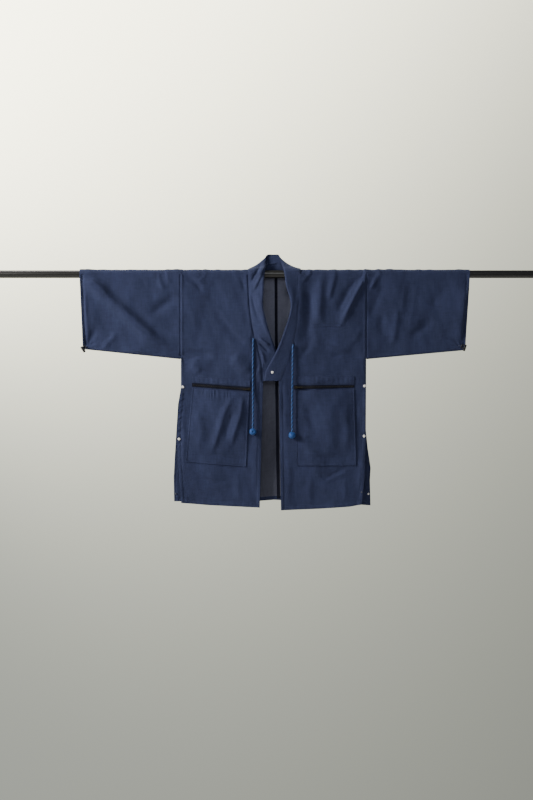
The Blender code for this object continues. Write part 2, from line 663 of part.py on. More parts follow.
def rod(collection):
    """The hanging rod, with flat ends."""
    shape = bmesh.new()
    bmesh.ops.create_cone(shape, cap_ends=True, segments=32, radius1=ROD_RADIUS, radius2=ROD_RADIUS,
                          depth=ROD_LENGTH)
    data = bpy.data.meshes.new("rod")
    shape.to_mesh(data)
    shape.free()
    made = add_object("rod", data, "rod_black", collection)
    made.rotation_euler = (0.0, math.radians(90), 0.0)


def toggle(side_name, collection):
    """The small bar at the lower corner of a cuff."""
    x, drop, turn = TOGGLES[side_name]
    stand = lowest_front(side_name, "front", x, drop - 0.006, 0.008) + LAY_GAP + TOGGLE_SIZE[1] / 2
    block("cuff_toggle_" + side_name, TOGGLE_SIZE, (x, -stand, -drop), turn, 0.001, "black_tape", collection)


def build():
    clear_scene()
    collection = bpy.data.collections.new("happi coat on a rod")
    bpy.context.scene.collection.children.link(collection)
    rod(collection)
    for side_name in SIDES:
        body_half(side_name, collection)
        sleeve(side_name, collection)
        front_pieces(side_name, collection)
        zip_pull(side_name, collection)
        cord(side_name, collection)
        toggle(side_name, collection)
    collar(collection)
    neck_facing(collection)
    back_seam_tape(collection)
    patch("chest_welt", "right", WELT, (5, 1), TAPE_CLOTH, "indigo_cloth", collection,
          CLOTH / 2 + LAY_GAP + TAPE_CLOTH / 2 + WELT_LIFT)
    snaps(collection)


build()
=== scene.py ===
"""Happi coat hanging flat on a rod: cloth, collar, cords, fasteners, light and camera.

Metres, +Z up, the coat's front faces -Y. Left and right are as seen from the
front. A drop is a distance below the rod's axis. Creases are in millimetres.
"""

import math
from collections import namedtuple

import bmesh
import bpy
import numpy as np
from mathutils import Matrix, Vector


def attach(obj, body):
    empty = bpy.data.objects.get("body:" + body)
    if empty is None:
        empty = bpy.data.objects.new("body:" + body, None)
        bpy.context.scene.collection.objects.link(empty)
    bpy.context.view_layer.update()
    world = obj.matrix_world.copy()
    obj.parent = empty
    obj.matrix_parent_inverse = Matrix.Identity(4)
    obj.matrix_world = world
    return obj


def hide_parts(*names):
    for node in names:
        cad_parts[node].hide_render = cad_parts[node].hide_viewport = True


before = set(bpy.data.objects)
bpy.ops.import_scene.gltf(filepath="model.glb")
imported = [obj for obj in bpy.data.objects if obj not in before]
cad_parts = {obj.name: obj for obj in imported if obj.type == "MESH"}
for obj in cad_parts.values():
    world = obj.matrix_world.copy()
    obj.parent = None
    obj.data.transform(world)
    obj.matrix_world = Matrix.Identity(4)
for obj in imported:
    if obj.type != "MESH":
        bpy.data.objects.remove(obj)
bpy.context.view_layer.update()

MM = 0.001
COAT = "coat"

# The photograph's view: its size, its scale at the rod, and where it looks
PHOTO_HEIGHT = 800
PIXEL = 0.0032
VIEW_X = -0.0246
VIEW_DROP = 0.4026
VIEW_DISTANCE = 6.0
SENSOR = 36.0

# Cloth
CLOTH = 0.0011
BAND_CLOTH = 0.0025
ROD_RADIUS = 0.0125
WRAP_RADIUS = ROD_RADIUS + 0.0006 + 0.00075
TIGHT_GAP = 0.0062
FOLD_ROUND = 0.006
TAPER_REACH = 0.20
LEAST_GAP = 0.0025
EDGE_GAP = 0.0006
NECK_X = 0.078
SLEEVE_GAP = 0.0001
SEAM_GAP = 0.0
VENT_TOP = 0.361
HEM_MEAN = 0.740
HEM_START = 0.400
LEAN_SHARE = 0.6
BACK_NEARER = 0.15

Side = namedtuple("Side", "name sign armhole_x cuff_top_x cuff_low_x sleeve_low cuff_low seam_x")
SIDES = {
    "left": Side("left", -1, -0.2998, -0.6214, -0.6118, 0.2714, 0.2394, -0.2984),
    "right": Side("right", 1, 0.2955, 0.6250, 0.6106, 0.2714, 0.2426, 0.2940),
}
Edge = namedtuple("Edge", "drop x")
FRONT_SIDE_EDGE = {
    "left": (Edge(0.2735, -0.2984), Edge(0.361, -0.2982), Edge(0.467, -0.3080),
             Edge(0.528, -0.3105), Edge(0.610, -0.3060), Edge(0.690, -0.3000), Edge(0.740, -0.2966)),
    "right": (Edge(0.2735, 0.2940), Edge(0.361, 0.2938), Edge(0.520, 0.2925),
              Edge(0.660, 0.2875), Edge(0.740, 0.2790)),
}
BACK_SIDE_EDGE = {
    "left": (Edge(0.2735, -0.2984), Edge(0.361, -0.2982), Edge(0.416, -0.3078),
             Edge(0.518, -0.3142), Edge(0.595, -0.3190), Edge(0.660, -0.3220), Edge(0.740, -0.3205)),
    "right": (Edge(0.2735, 0.2940), Edge(0.361, 0.2938), Edge(0.500, 0.2940),
              Edge(0.560, 0.3005), Edge(0.620, 0.3095), Edge(0.660, 0.3070), Edge(0.740, 0.3090)),
}
FRONT_INNER_EDGE = {
    "left": (Edge(0.0, -0.0780), Edge(0.035, -0.0760), Edge(0.099, -0.0724), Edge(0.163, -0.0650),
             Edge(0.204, -0.0561), Edge(0.233, -0.0471), Edge(0.278, -0.0353), Edge(0.325, -0.0315),
             Edge(0.345, -0.0355), Edge(0.745, -0.0464)),
    "right": (Edge(0.0, 0.0780), Edge(0.083, 0.0766), Edge(0.131, 0.0718), Edge(0.179, 0.0654),
              Edge(0.223, 0.0561), Edge(0.268, 0.0414), Edge(0.310, 0.0254), Edge(0.345, 0.0155),
              Edge(0.755, 0.0218)),
}
CENTRE_BACK = (Edge(-0.040, 0.0045), Edge(0.020, 0.0058), Edge(0.355, 0.0077), Edge(0.723, 0.0132))
Hem = namedtuple("Hem", "x drop")
FRONT_HEM = {
    "left": (Hem(-0.300, 0.7310), Hem(-0.205, 0.7386), Hem(-0.046, 0.7462)),
    "right": (Hem(0.022, 0.7548), Hem(0.146, 0.7498), Hem(0.240, 0.7434), Hem(0.280, 0.7363)),
}
BACK_HEM = (Hem(-0.320, 0.7274), Hem(-0.045, 0.7258), Hem(0.000, 0.7222), Hem(0.150, 0.7300),
            Hem(0.309, 0.7404))
Neck = namedtuple("Neck", "share y z")
BACK_NECKLINE = (Neck(0.0, 0.0, WRAP_RADIUS), Neck(0.22, 0.0093, 0.0190), Neck(0.48, 0.0170, 0.0290),
                 Neck(0.75, 0.0215, 0.0355), Neck(1.0, 0.0232, 0.0380))

# Collar band stations: seam edge and free edge, from the left end round the neck to the right end
Station = namedtuple("Station", "seam_x seam_y seam_z free_x free_y free_z")
COLLAR = (
    Station(-0.0360, -0.0164, -0.3420, 0.0095, -0.0130, -0.3420),
    Station(-0.0385, -0.0164, -0.3100, 0.0110, -0.0130, -0.3080),
    Station(-0.0413, -0.0164, -0.2778, 0.0105, -0.0134, -0.2700),
    Station(-0.0531, -0.0163, -0.2330, 0.0015, -0.0142, -0.2330),
    Station(-0.0621, -0.0163, -0.2042, -0.0134, -0.0156, -0.1914),
    Station(-0.0710, -0.0163, -0.1626, -0.0262, -0.0166, -0.1466),
    Station(-0.0784, -0.0163, -0.0986, -0.0358, -0.0180, -0.1018),
    Station(-0.0819, -0.0164, -0.0346, -0.0335, -0.0188, -0.0314),
    Station(-0.0830, -0.0166, 0.0000, -0.0310, -0.0180, 0.0020),
    Station(-0.0836, -0.0120, 0.0120, -0.0288, -0.0125, 0.0160),
    Station(-0.0838, 0.0000, 0.0169, -0.0274, -0.0020, 0.0260),
    Station(-0.0775, 0.0090, 0.0155, -0.0285, 0.0080, 0.0360),
    Station(-0.0600, 0.0152, 0.0180, -0.0290, 0.0162, 0.0470),
    Station(-0.0380, 0.0188, 0.0258, -0.0268, 0.0218, 0.0565),
    Station(-0.0154, 0.0200, 0.0322, -0.0195, 0.0250, 0.0636),
    Station(0.0055, 0.0213, 0.0345, -0.0020, 0.0270, 0.0642),
    Station(0.0240, 0.0200, 0.0320, 0.0125, 0.0255, 0.0636),
    Station(0.0430, 0.0188, 0.0258, 0.0172, 0.0218, 0.0560),
    Station(0.0620, 0.0168, 0.0190, 0.0215, 0.0172, 0.0462),
    Station(0.0785, 0.0098, 0.0168, 0.0245, 0.0092, 0.0362),
    Station(0.0842, 0.0000, 0.0174, 0.0275, -0.0020, 0.0262),
    Station(0.0842, -0.0120, 0.0120, 0.0298, -0.0125, 0.0155),
    Station(0.0838, -0.0166, 0.0000, 0.0330, -0.0182, 0.0010),
    Station(0.0835, -0.0164, -0.0346, 0.0378, -0.0190, -0.0346),
    Station(0.0826, -0.0163, -0.0826, 0.0530, -0.0198, -0.0922),
    Station(0.0778, -0.0163, -0.1306, 0.0480, -0.0198, -0.1350),
    Station(0.0714, -0.0163, -0.1786, 0.0314, -0.0194, -0.1850),
    Station(0.0621, -0.0163, -0.2234, 0.0186, -0.0195, -0.2202),
    Station(0.0474, -0.0163, -0.2682, 0.0026, -0.0196, -0.2554),
    Station(0.0314, -0.0164, -0.3098, -0.0250, -0.0198, -0.3060),
    Station(0.0186, -0.0166, -0.3420, -0.0330, -0.0198, -0.3410),
)
COLLAR_SEAM = {
    "left": [(row.seam_x / MM, -row.seam_z / MM) for row in COLLAR[:9]],
    "right": [(row.seam_x / MM, -row.seam_z / MM) for row in COLLAR[-9:]],
}

# Creases in millimetres: points (x, drop) along the crease, half width, height, and the share of
# the half width by which the flank on the left of a falling line is wider, so gentler, than the other
Crease = namedtuple("Crease", "points width height skew")
LEFT_SLEEVE_CREASES = (
    Crease(((-668, -46), (-596, 14), (-555, 50), (-511, 93), (-442, 152), (-380, 206), (-322, 252)), 20, 14.0, 0.25),
    Crease(((-480, 100), (-410, 160), (-345, 205)), 24, -4.0, 0.0),
    Crease(((-308, 72), (-350, 96), (-404, 136)), 17, -6.0, 0.0),
    Crease(((-610, 240), (-588, 210), (-572, 172)), 12, -3.7, 0.0),
    Crease(((-552, 246), (-528, 215), (-500, 188)), 9, 3.4, 0.0),
    Crease(((-604, 50), (-600, 150), (-592, 215)), 6, 1.9, 0.0),
    Crease(((-480, 236), (-440, 246), (-380, 268)), 8, 2.5, 0.0),
    Crease(((-372, -14), (-366, 26), (-350, 58)), 7, 2.5, 0.0),
    Crease(((-420, -14), (-408, 22), (-400, 44)), 6, 2.0, 0.0),
    Crease(((-345, -14), (-338, 16), (-334, 34)), 5, 2.2, 0.0),
)
RIGHT_SLEEVE_CREASES = (
    Crease(((346, -18), (322, 20), (304, 54)), 6.5, 5.7, -0.2),
    Crease(((352, 30), (330, 80), (306, 140)), 12, -2.7, 0.0),
    Crease(((624, 24), (608, 90), (601, 159), (593, 232)), 14, 6.5, 0.72),
    Crease(((510, 140), (470, 175), (430, 208)), 15, -5.0, 0.0),
    Crease(((553, 35), (520, 80), (500, 120)), 15, -3.0, 0.0),
    Crease(((396, 90), (390, 160), (377, 236)), 12, 4.0, 0.2),
    Crease(((420, 34), (412, 80), (404, 150)), 8, 1.8, 0.0),
    Crease(((348, 130), (342, 165), (350, 200)), 13, -3.6, 0.0),
    Crease(((452, 30), (446, 100), (430, 180)), 9, 1.4, 0.0),
)
LEFT_BODY_CREASES = (
    Crease(((-300, -12), (-262, 20), (-241, 38), (-228, 60)), 8, -3.9, 0.0),
    Crease(((-215, -14), (-224, 10), (-245, 30)), 6, 2.1, 0.0),
    Crease(((-111, -10), (-100, 32), (-91, 60)), 6, -2.3, 0.0),
    Crease(((-190, 112), (-138, 185), (-84, 236)), 13, -3.4, 0.3),
    Crease(((-138, 262), (-108, 286), (-80, 318)), 20, 6.0, 0.0),
    Crease(((-312, 276), (-262, 258), (-230, 257), (-196, 268)), 12, -7.0, 0.0),
    Crease(((-268, 284), (-250, 298), (-236, 316)), 14, 4.6, 0.0),
    Crease(((-39, 292), (-54, 322), (-72, 348)), 6, 3.4, 0.3),
    Crease(((-44, 318), (-58, 350), (-60, 400)), 7, 2.1, 0.0),
    Crease(((-262, 110), (-252, 170), (-264, 240)), 14, 1.3, 0.0),
    Crease(((-292, 420), (-288, 520), (-292, 640)), 8, 2.1, 0.0),
    Crease(((-60, 420), (-56, 540), (-62, 690)), 9, 2.0, 0.0),
    Crease(((-270, 640), (-200, 668), (-120, 652)), 9, -1.7, 0.0),
    Crease(((-130, 622), (-116, 660), (-112, 725)), 9, 1.6, 0.0),
)
RIGHT_BODY_CREASES = (
    Crease(((150, -16), (147, 54), (143, 110), (146, 170)), 17, 7.5, 0.15),
    Crease(((198, -16), (188, 30), (172, 90)), 9, 4.6, 0.3),
    Crease(((305, -18), (259, 66), (224, 136), (210, 170)), 8, 9.5, -0.2),
    Crease(((286, -18), (240, 52), (214, 100), (202, 134)), 10, -5.5, 0.3),
    Crease(((128, -16), (108, 6), (88, 26)), 6, 4.3, 0.0),
    Crease(((108, 30), (114, 110), (110, 170), (98, 244)), 14, -5.9, 0.0),
    Crease(((128, 180), (108, 236), (78, 272)), 10, -3.0, 0.0),
    Crease(((165, 205), (200, 222), (238, 227)), 4, 1.2, 0.0),
    Crease(((170, 228), (206, 242), (242, 238)), 4, 1.2, 0.0),
    Crease(((290, 272), (240, 258), (180, 262)), 9, -2.7, 0.4),
    Crease(((284, 160), (262, 206), (226, 240)), 10, 1.9, 0.0),
    Crease(((80, 322), (130, 326), (205, 318)), 4, -1.4, 0.0),
    Crease(((80, 338), (140, 343), (205, 334)), 4, 1.2, 0.0),
    Crease(((34, 320), (40, 420), (36, 520)), 8, 1.9, 0.0),
    Crease(((42, 560), (48, 640), (44, 740)), 9, 1.9, 0.0),
    Crease(((145, 631), (161, 654), (202, 633), (239, 617)), 6, -2.0, 0.0),
    Crease(((147, 643), (163, 665), (204, 645), (243, 628)), 6, 1.6, 0.0),
    Crease(((284, 540), (278, 620), (268, 700)), 7, 2.0, 0.0),
    Crease(((120, 640), (112, 690), (118, 742)), 9, 1.8, 0.0),
    Crease(((224, 650), (228, 690), (222, 735)), 9, 1.6, 0.0),
)
BACK_CREASES = (
    Crease(((-596, 40), (-500, 118), (-400, 176), (-330, 224)), 11, 7.1, 0.3),
    Crease(((-590, 24), (-490, 88), (-390, 150)), 11, -5.6, 0.0),
    Crease(((-320, 30), (-356, 96), (-400, 128)), 8, 4.1, 0.0),
    Crease(((-288, 20), (-262, 80), (-236, 170)), 9, 8.7, 0.4),
    Crease(((-262, 26), (-240, 84), (-214, 140)), 9, -5.3, 0.0),
    Crease(((-120, 50), (-138, 160), (-150, 300)), 14, 7.1, 0.2),
    Crease(((-215, 300), (-208, 460), (-200, 640)), 15, 7.5, 0.0),
    Crease(((-80, 380), (-88, 520), (-95, 700)), 14, -5.3, 0.0),
    Crease(((-60, 30), (-30, 60), (20, 66), (66, 34)), 8, 4.1, 0.0),
    Crease(((-290, 280), (-220, 262), (-120, 270)), 9, -4.9, 0.3),
    Crease(((75, 120), (86, 270), (95, 420)), 14, 7.5, 0.2),
    Crease(((180, 340), (192, 500), (200, 690)), 15, 8.2, 0.0),
    Crease(((275, 25), (232, 100), (190, 180)), 8, 9.3, -0.4),
    Crease(((292, 276), (220, 260), (130, 268)), 9, -4.9, 0.3),
    Crease(((128, 560), (120, 640), (124, 720)), 12, 4.4, 0.0),
    Crease(((560, 40), (480, 124), (400, 200)), 13, 6.8, 0.3),
    Crease(((600, 60), (580, 140), (560, 210)), 12, 4.9, 0.0),
    Crease(((350, 24), (330, 90), (306, 150)), 8, 5.3, 0.0),
)
CREASES = {
    ("left", "front"): LEFT_BODY_CREASES + LEFT_SLEEVE_CREASES,
    ("right", "front"): RIGHT_BODY_CREASES + RIGHT_SLEEVE_CREASES,
    ("left", "back"): BACK_CREASES,
    ("right", "back"): BACK_CREASES,
}

# Broad unevenness of the hanging cloth: wave length across and down, height, and phase
Swell = namedtuple("Swell", "across down height phase")
SWELLS = (
    Swell(0.310, 0.620, 0.0013, 0.4), Swell(-0.170, 0.380, 0.0012, 1.9),
    Swell(0.105, 0.260, 0.0007, 3.3), Swell(-0.068, 0.170, 0.0004, 5.1),
    Swell(0.047, 0.110, 0.0002, 2.2), Swell(-0.031, 0.085, 0.00014, 0.9),
)

# Places where something fixed lies before the front: the cloth stays this close to its plain form
Clear = namedtuple("Clear", "points rise reach")
KEEP_CLEAR = (
    Clear(((-66.8, 205), (-67.8, 340), (-67.2, 470)), 0.9, 14),
    Clear(((60, 225), (58.2, 340), (57.2, 480)), 1.2, 14),
    Clear(((-67, 488), (-68, 518)), 0.2, 16),
    Clear(((57, 498), (57, 530)), 0.2, 16),
    Clear(((-74, 366), (-104, 368)), 0.8, 14),
    Clear(((64, 362), (94, 362)), 0.8, 14),
)





# Shape of the hanging cloth


def table(rows, value):
    """The second column of a two-column table, at values of its first."""
    return np.interp(value, [row[0] for row in rows], [row[1] for row in rows])


def smooth_step(value):
    t = np.clip(value, 0.0, 1.0)
    return t * t * (3 - 2 * t)


def line_distance(x, drop, points):
    """Distance from places to a polyline, the side they lie on, and how far along they are."""
    away = np.full(np.shape(x), 1.0e3)
    hand = np.zeros(np.shape(x))
    along = np.zeros(np.shape(x))
    steps = [math.dist(a, b) for a, b in zip(points, points[1:])]
    walked = 0.0
    for (ax, az), (bx, bz), step in zip(points, points[1:], steps):
        dx, dz = bx - ax, bz - az
        share = np.clip(((x - ax) * dx + (drop - az) * dz) / step ** 2, 0.0, 1.0)
        near_x, near_z = x - ax - share * dx, drop - az - share * dz
        distance = np.hypot(near_x, near_z)
        closer = distance < away
        away = np.where(closer, distance, away)
        hand = np.where(closer, np.sign(dx * near_z - dz * near_x), hand)
        along = np.where(closer, (walked + share * step) / sum(steps), along)
        walked += step
    return away, hand, along


def crease_height(creases, x, drop):
    """Soft ridges and troughs, each fading at both ends and steeper on one flank."""
    total = np.zeros(np.shape(x))
    for crease in creases:
        away, hand, along = line_distance(x / MM, drop / MM, crease.points)
        width = crease.width * (1 + crease.skew * hand)
        fade = smooth_step(3.2 * along + 0.12) * smooth_step(3.2 * (1 - along) + 0.12)
        total += crease.height * MM * fade * np.exp(-(away / width) ** 2)
    return total


def swell_height(x, drop, face):
    """Broad, low waves, shifted between front and back."""
    total = np.zeros(np.shape(x))
    shift = 0.0 if face == "front" else 2.4
    for swell in SWELLS:
        angle = 2 * math.pi * (x / swell.across + drop / swell.down) + swell.phase + shift
        total += swell.height * np.sin(angle + 1.3 * np.sin(9 * drop + swell.phase))
    return total


def held_clear(x, drop, height):
    """Lowers ridges where a cord, a knot or a zip slider lies before the front."""
    for place in KEEP_CLEAR:
        away = line_distance(x / MM, drop / MM, place.points)[0]
        most = place.rise * MM + 0.012 * smooth_step((away - 5) / place.reach)
        height = np.minimum(height, most)
    return height


def sewn_distance(side, x, drop):
    """Distance to where front and back are sewn: the sleeve's lower edge and the side seam."""
    line = ((side.cuff_low_x, side.cuff_low), (side.armhole_x, side.sleeve_low), (side.seam_x, VENT_TOP))
    return line_distance(x, drop, line)[0]


def outer_edge(side, face, drop):
    """x of a panel's outer edge: the armhole, then the side seam and the vent."""
    rows = (FRONT_SIDE_EDGE if face == "front" else BACK_SIDE_EDGE)[side.name]
    return np.where(drop < 0.2705, side.armhole_x - side.sign * SLEEVE_GAP, table(rows, drop))


def inner_edge(side, face, drop):
    """x of a panel's inner edge: neckline and front edge, or the centre-back seam."""
    if face == "front":
        return table(FRONT_INNER_EDGE[side.name], drop)
    return table(CENTRE_BACK, drop) + side.sign * SEAM_GAP / 2


def hem_line(side, face, x):
    return table(FRONT_HEM[side.name] if face == "front" else BACK_HEM, x)


HEM_DEPTH = 0.013
CUFF_STITCH = 0.0095
EDGE_TURN = 0.010
VENT_FACING = 0.032
# Puckers at the vents' edges; only the left front edge is drawn up, from its top to the middle snap
VENT_PULL = 0.00022
DRAWN_PULL = 0.0008
DRAWN_END = 0.520
PUCKER_LEAN = 0.7
# The left back layer's edge curls forward behind the vent
BACK_EDGE_CURL = 0.0028
BACK_EDGE_REACH = 0.010
# How deep the cuffs' stitch lines pull the cloth in
CUFF_SINK = {"left": 0.0021, "right": 0.0011}
HEM_STEP = 0.0010
STITCH_SINK = 0.0010


def turned_edge(distance, depth):
    """A turned and stitched edge: thicker cloth out to the stitch line, which is pulled in."""
    inside = 1 - smooth_step((distance - depth) / 0.0022)
    sink = np.exp(-((distance - depth) / 0.0016) ** 2)
    return HEM_STEP * inside - STITCH_SINK * sink


def edge_puckers(distance, along, depth, reach):
    """Small uneven gathers along a sewn edge, strongest at the edge and gone at the reach."""
    wave = np.sin(along * 330) + 0.6 * np.sin(along * 517 + 1.1) + 0.5 * np.sin(along * 201 + 2.0)
    return depth * wave * np.exp(-(distance / reach) ** 2)


def seam_relief(side, face, x, drop):
    """What sewing does to the panel: armhole ridge, turned edges, hems and their puckers."""
    armhole_away = np.abs(x - side.armhole_x)
    above = smooth_step((side.sleeve_low - drop) / 0.01)
    body_side = (x - side.armhole_x) * side.sign < 0
    uneven = 0.75 + 0.35 * np.sin(drop * 61 + 1.2) * np.sin(drop * 23)
    ridge = np.where(body_side, 0.0013, 0.0003) * uneven * np.exp(-((armhole_away - 0.0058) / 0.0040) ** 2)
    height = above * (ridge - 0.0013 * np.exp(-(armhole_away / 0.0020) ** 2))
    height += above * edge_puckers(armhole_away, drop, 0.00022, 0.012)

    hem_away = np.abs(hem_line(side, face, x) - drop)
    height += turned_edge(hem_away, HEM_DEPTH)
    height += edge_puckers(hem_away, x, 0.00030, 0.020)

    if face == "front":
        collar_away = line_distance(x / MM, drop / MM, COLLAR_SEAM[side.name])[0] * MM
        if side.name == "left":
            height += 0.0015 * np.exp(-((collar_away - 0.007) / 0.006) ** 2)
            height -= 0.0012 * np.exp(-(collar_away / 0.0030) ** 2)
        else:
            height += 0.0042 * np.exp(-(collar_away / 0.016) ** 2)

    below = smooth_step((drop - VENT_TOP) / 0.02)
    vent_away = np.abs(x - outer_edge(side, face, drop))
    pull = VENT_PULL
    if side.name == "left" and face == "front":
        pull = VENT_PULL + DRAWN_PULL * (1 - smooth_step((drop - DRAWN_END) / 0.045))
    gathers = edge_puckers(vent_away, drop + PUCKER_LEAN * vent_away, pull, 0.013)
    height += below * (turned_edge(vent_away, EDGE_TURN) + gathers)
    if side.name == "left" and face == "back":
        height -= below * BACK_EDGE_CURL * np.exp(-(vent_away / BACK_EDGE_REACH) ** 2)
    if face == "front":
        lower = smooth_step((drop - 0.340) / 0.02)
        front_away = np.abs(x - inner_edge(side, face, drop))
        gathers = edge_puckers(front_away, drop, 0.0002, 0.012)
        height += lower * (turned_edge(front_away, EDGE_TURN) + gathers)
    cuff = cuff_edge(side, drop)
    cuff_away = np.abs(x - cuff)
    height += 0.0008 * np.exp(-(cuff_away / 0.0045) ** 2) + edge_puckers(cuff_away, drop, 0.0003, 0.012)
    return height - CUFF_SINK[side.name] * np.exp(-((cuff_away - CUFF_STITCH) / 0.0036) ** 2)


def cuff_edge(side, drop):
    share = np.clip(drop / side.cuff_low, 0.0, 1.0)
    return side.cuff_top_x + share * (side.cuff_low_x - side.cuff_top_x)


def cuff_gathers(side, x, drop):
    """The cuff's lower corner, drawn together by its toggle."""
    corner_x = side.cuff_low_x - side.sign * 0.012
    away = np.hypot(x - corner_x, drop - side.cuff_low + 0.004)
    angle = np.arctan2(x - corner_x, drop - side.cuff_low + 0.004)
    return 0.0016 * np.sin(11 * angle) * smooth_step(away / 0.012) * np.exp(-(away / 0.036) ** 2)


def half_gap(side, face, x, drop):
    """How far the cloth's middle surface stands from the coat's middle plane."""
    away = sewn_distance(side, x, drop)
    spread = TIGHT_GAP + (WRAP_RADIUS - TIGHT_GAP) * smooth_step(away / TAPER_REACH)
    shut = np.sqrt(1 - (1 - np.clip(away / FOLD_ROUND, 0.0, 1.0)) ** 2)
    folds = crease_height(CREASES[side.name, face], x, drop) + swell_height(x, drop, face)
    below_rod = smooth_step((drop - 0.006) / 0.03)
    ridges = np.maximum(folds, 0.0)
    on_rod = 0.0032 * np.tanh(ridges / 0.0032) if face == "front" else 0.0
    height = np.minimum(folds, 0.0) * below_rod + ridges * below_rod + on_rod * (1 - below_rod)
    height += seam_relief(side, face, x, drop) * smooth_step((drop + 0.004) / 0.010)
    height += cuff_gathers(side, x, drop)
    height *= smooth_step(away / 0.014)
    if face == "front":
        height = held_clear(x, drop, height)
    else:
        spread = spread * (1 - BACK_NEARER * smooth_step((drop - 0.05) / 0.40))
    return np.maximum(spread * shut + height, np.minimum(spread * shut, LEAST_GAP))


def panel_points(side, face, x, drop):
    """Points of a front or back panel at or below the rod's axis, as an array of rows."""
    gap = half_gap(side, face, x, drop)
    y = -gap if face == "front" else gap
    y = np.where(np.abs(y) < EDGE_GAP, np.sign(y) * EDGE_GAP, y)
    return np.stack((x, y, -drop), axis=-1)


def turn_points(side, face, x, turn):
    """Points of the turn over the rod: turn is 0 at the top and 1 at the rod's axis height."""
    neck = side.sign * NECK_X
    share = np.clip((x - neck) / (table(CENTRE_BACK, 0.0) - neck), 0.0, 1.0) if face == "back" else 0.0 * x
    top_y = table([(row.share, row.y) for row in BACK_NECKLINE], share)
    top_z = table([(row.share, row.z) for row in BACK_NECKLINE], share)
    lean = smooth_step(share / LEAN_SHARE)
    angle = turn * math.pi / 2
    y = top_y + (WRAP_RADIUS - top_y) * (np.sin(angle) * (1 - lean) + turn * lean)
    z = top_z * (np.cos(angle) * (1 - lean) + (1 - turn) * lean)
    over = 0.6 + 0.4 * turn if face == "front" else 0.6 * (1 - turn)
    lift = 1 + (top_ripple(side, x, turn) + over * front_folds_on_rod(side, x)) / WRAP_RADIUS
    clear = np.maximum(WRAP_RADIUS / np.hypot(y, z), 1.0) * lift
    return np.stack((x, (-y if face == "front" else y) * clear, z * clear), axis=-1)


def front_folds_on_rod(side, x):
    """Height of the front's ridges where they run on over the rod."""
    level = np.zeros(np.shape(x))
    folds = crease_height(CREASES[side.name, "front"], x, level) + swell_height(x, level, "front")
    return 0.0032 * np.tanh(np.maximum(folds, 0.0) / 0.0032)


def top_ripple(side, x, turn):
    """Small uneven folds where the cloth lies over the rod, never below its resting radius."""
    wave = np.sin(96 * x + 0.7) * np.sin(41 * x + 2.0) + 0.6 * np.sin(173 * x + 1.0) * np.sin(23 * x)
    seam = np.exp(-((x - side.armhole_x + side.sign * 0.004) / 0.003) ** 2)
    return (0.0012 * np.clip(wave, 0.0, 1.0) + 0.0011 * seam) * (1 - smooth_step(turn))


# Making cloth pieces


def spaced(start, stop, fine_start=0.0, fine_stop=0.0, fine=0.0016, coarse=0.0040):
    """Places from start to stop, close together over the fine lengths at either end."""
    length = abs(stop - start)
    steps = [0.0]
    while steps[-1] < length - 1e-9:
        at = steps[-1]
        near_end = at < fine_start or at > length - fine_stop
        steps.append(min(at + (fine if near_end else coarse), length))
    if len(steps) > 2 and steps[-1] - steps[-2] < 0.4 * fine:
        del steps[-2]
    return start + math.copysign(1, stop - start) * np.array(steps)


def shares(length, fine_start=0.0, fine_stop=0.0, fine=0.0016, coarse=0.0040):
    """The same places as shares from 0 to 1."""
    return spaced(0.0, length, fine_start, fine_stop, fine, coarse) / length


def outward(shape, centre):
    """Turns all faces so that their normals point away from the centre, on the whole."""
    bmesh.ops.recalc_face_normals(shape, faces=shape.faces)
    lean = sum((face.calc_center_median() - centre(face)).dot(face.normal) * face.calc_area()
               for face in shape.faces)
    if lean < 0:
        bmesh.ops.reverse_faces(shape, faces=shape.faces)


def middle_plane(face):
    """The point of the coat's middle plane behind or before a face, or the rod's axis above it."""
    middle = face.calc_center_median()
    return Vector((middle.x, 0.0, min(middle.z, 0.0)))


def thread_lengths(grid):
    """Run of the cloth along each column of a grid of points, from its first row."""
    steps = np.linalg.norm(np.diff(grid, axis=0), axis=2)
    return np.vstack((np.zeros(grid.shape[1]), np.cumsum(steps, axis=0)))


def cloth_piece(name, grids, wall, outside, inside=None, ring=False, centre=middle_plane):
    """Welds grids of points into a surface, thickens it evenly and rides it on the coat.

    Each grid keeps its own run along the threads, in metres, as texture coordinates.
    """
    shape = bmesh.new()
    threads = shape.loops.layers.uv.new("threads")
    for grid in grids:
        if ring:
            grid = np.concatenate((grid, grid[:1]))
        runs = thread_lengths(grid)
        points = [[shape.verts.new(point) for point in row] for row in grid]
        for row in range(len(points) - 1):
            for column in range(len(points[0]) - 1):
                corners = ((row, column), (row, column + 1), (row + 1, column + 1), (row + 1, column))
                face = shape.faces.new([points[r][c] for r, c in corners])
                for loop, (r, c) in zip(face.loops, corners):
                    loop[threads].uv = (grid[r, c, 0], runs[r, c])
    bmesh.ops.remove_doubles(shape, verts=shape.verts, dist=0.00002)
    outward(shape, centre)
    data = bpy.data.meshes.new(name)
    shape.to_mesh(data)
    shape.free()
    data.materials.append(outside)
    data.materials.append(inside or outside)
    soft = bpy.data.objects.new(name, data)
    bpy.context.scene.collection.objects.link(soft)
    thick = soft.modifiers.new("cloth thickness", "SOLIDIFY")
    thick.thickness = wall
    thick.offset = 0.0
    thick.material_offset = 1 if inside else 0
    thick.use_quality_normals = True
    edge = soft.modifiers.new("rounded edges", "BEVEL")
    edge.limit_method = "ANGLE"
    edge.angle_limit = math.radians(60)
    edge.width = 0.40 * wall
    edge.segments = 2
    return finished(soft, 50)


def finished(soft, angle=40, body=COAT):
    """Replaces an object's mesh with what its modifiers make, and rides it on its body."""
    bpy.context.view_layer.update()
    made = bpy.data.meshes.new_from_object(soft.evaluated_get(bpy.context.evaluated_depsgraph_get()))
    soft.modifiers.clear()
    soft.data = made
    made.shade_smooth()
    made.set_sharp_from_angle(angle=math.radians(angle))
    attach(soft, body)
    return soft


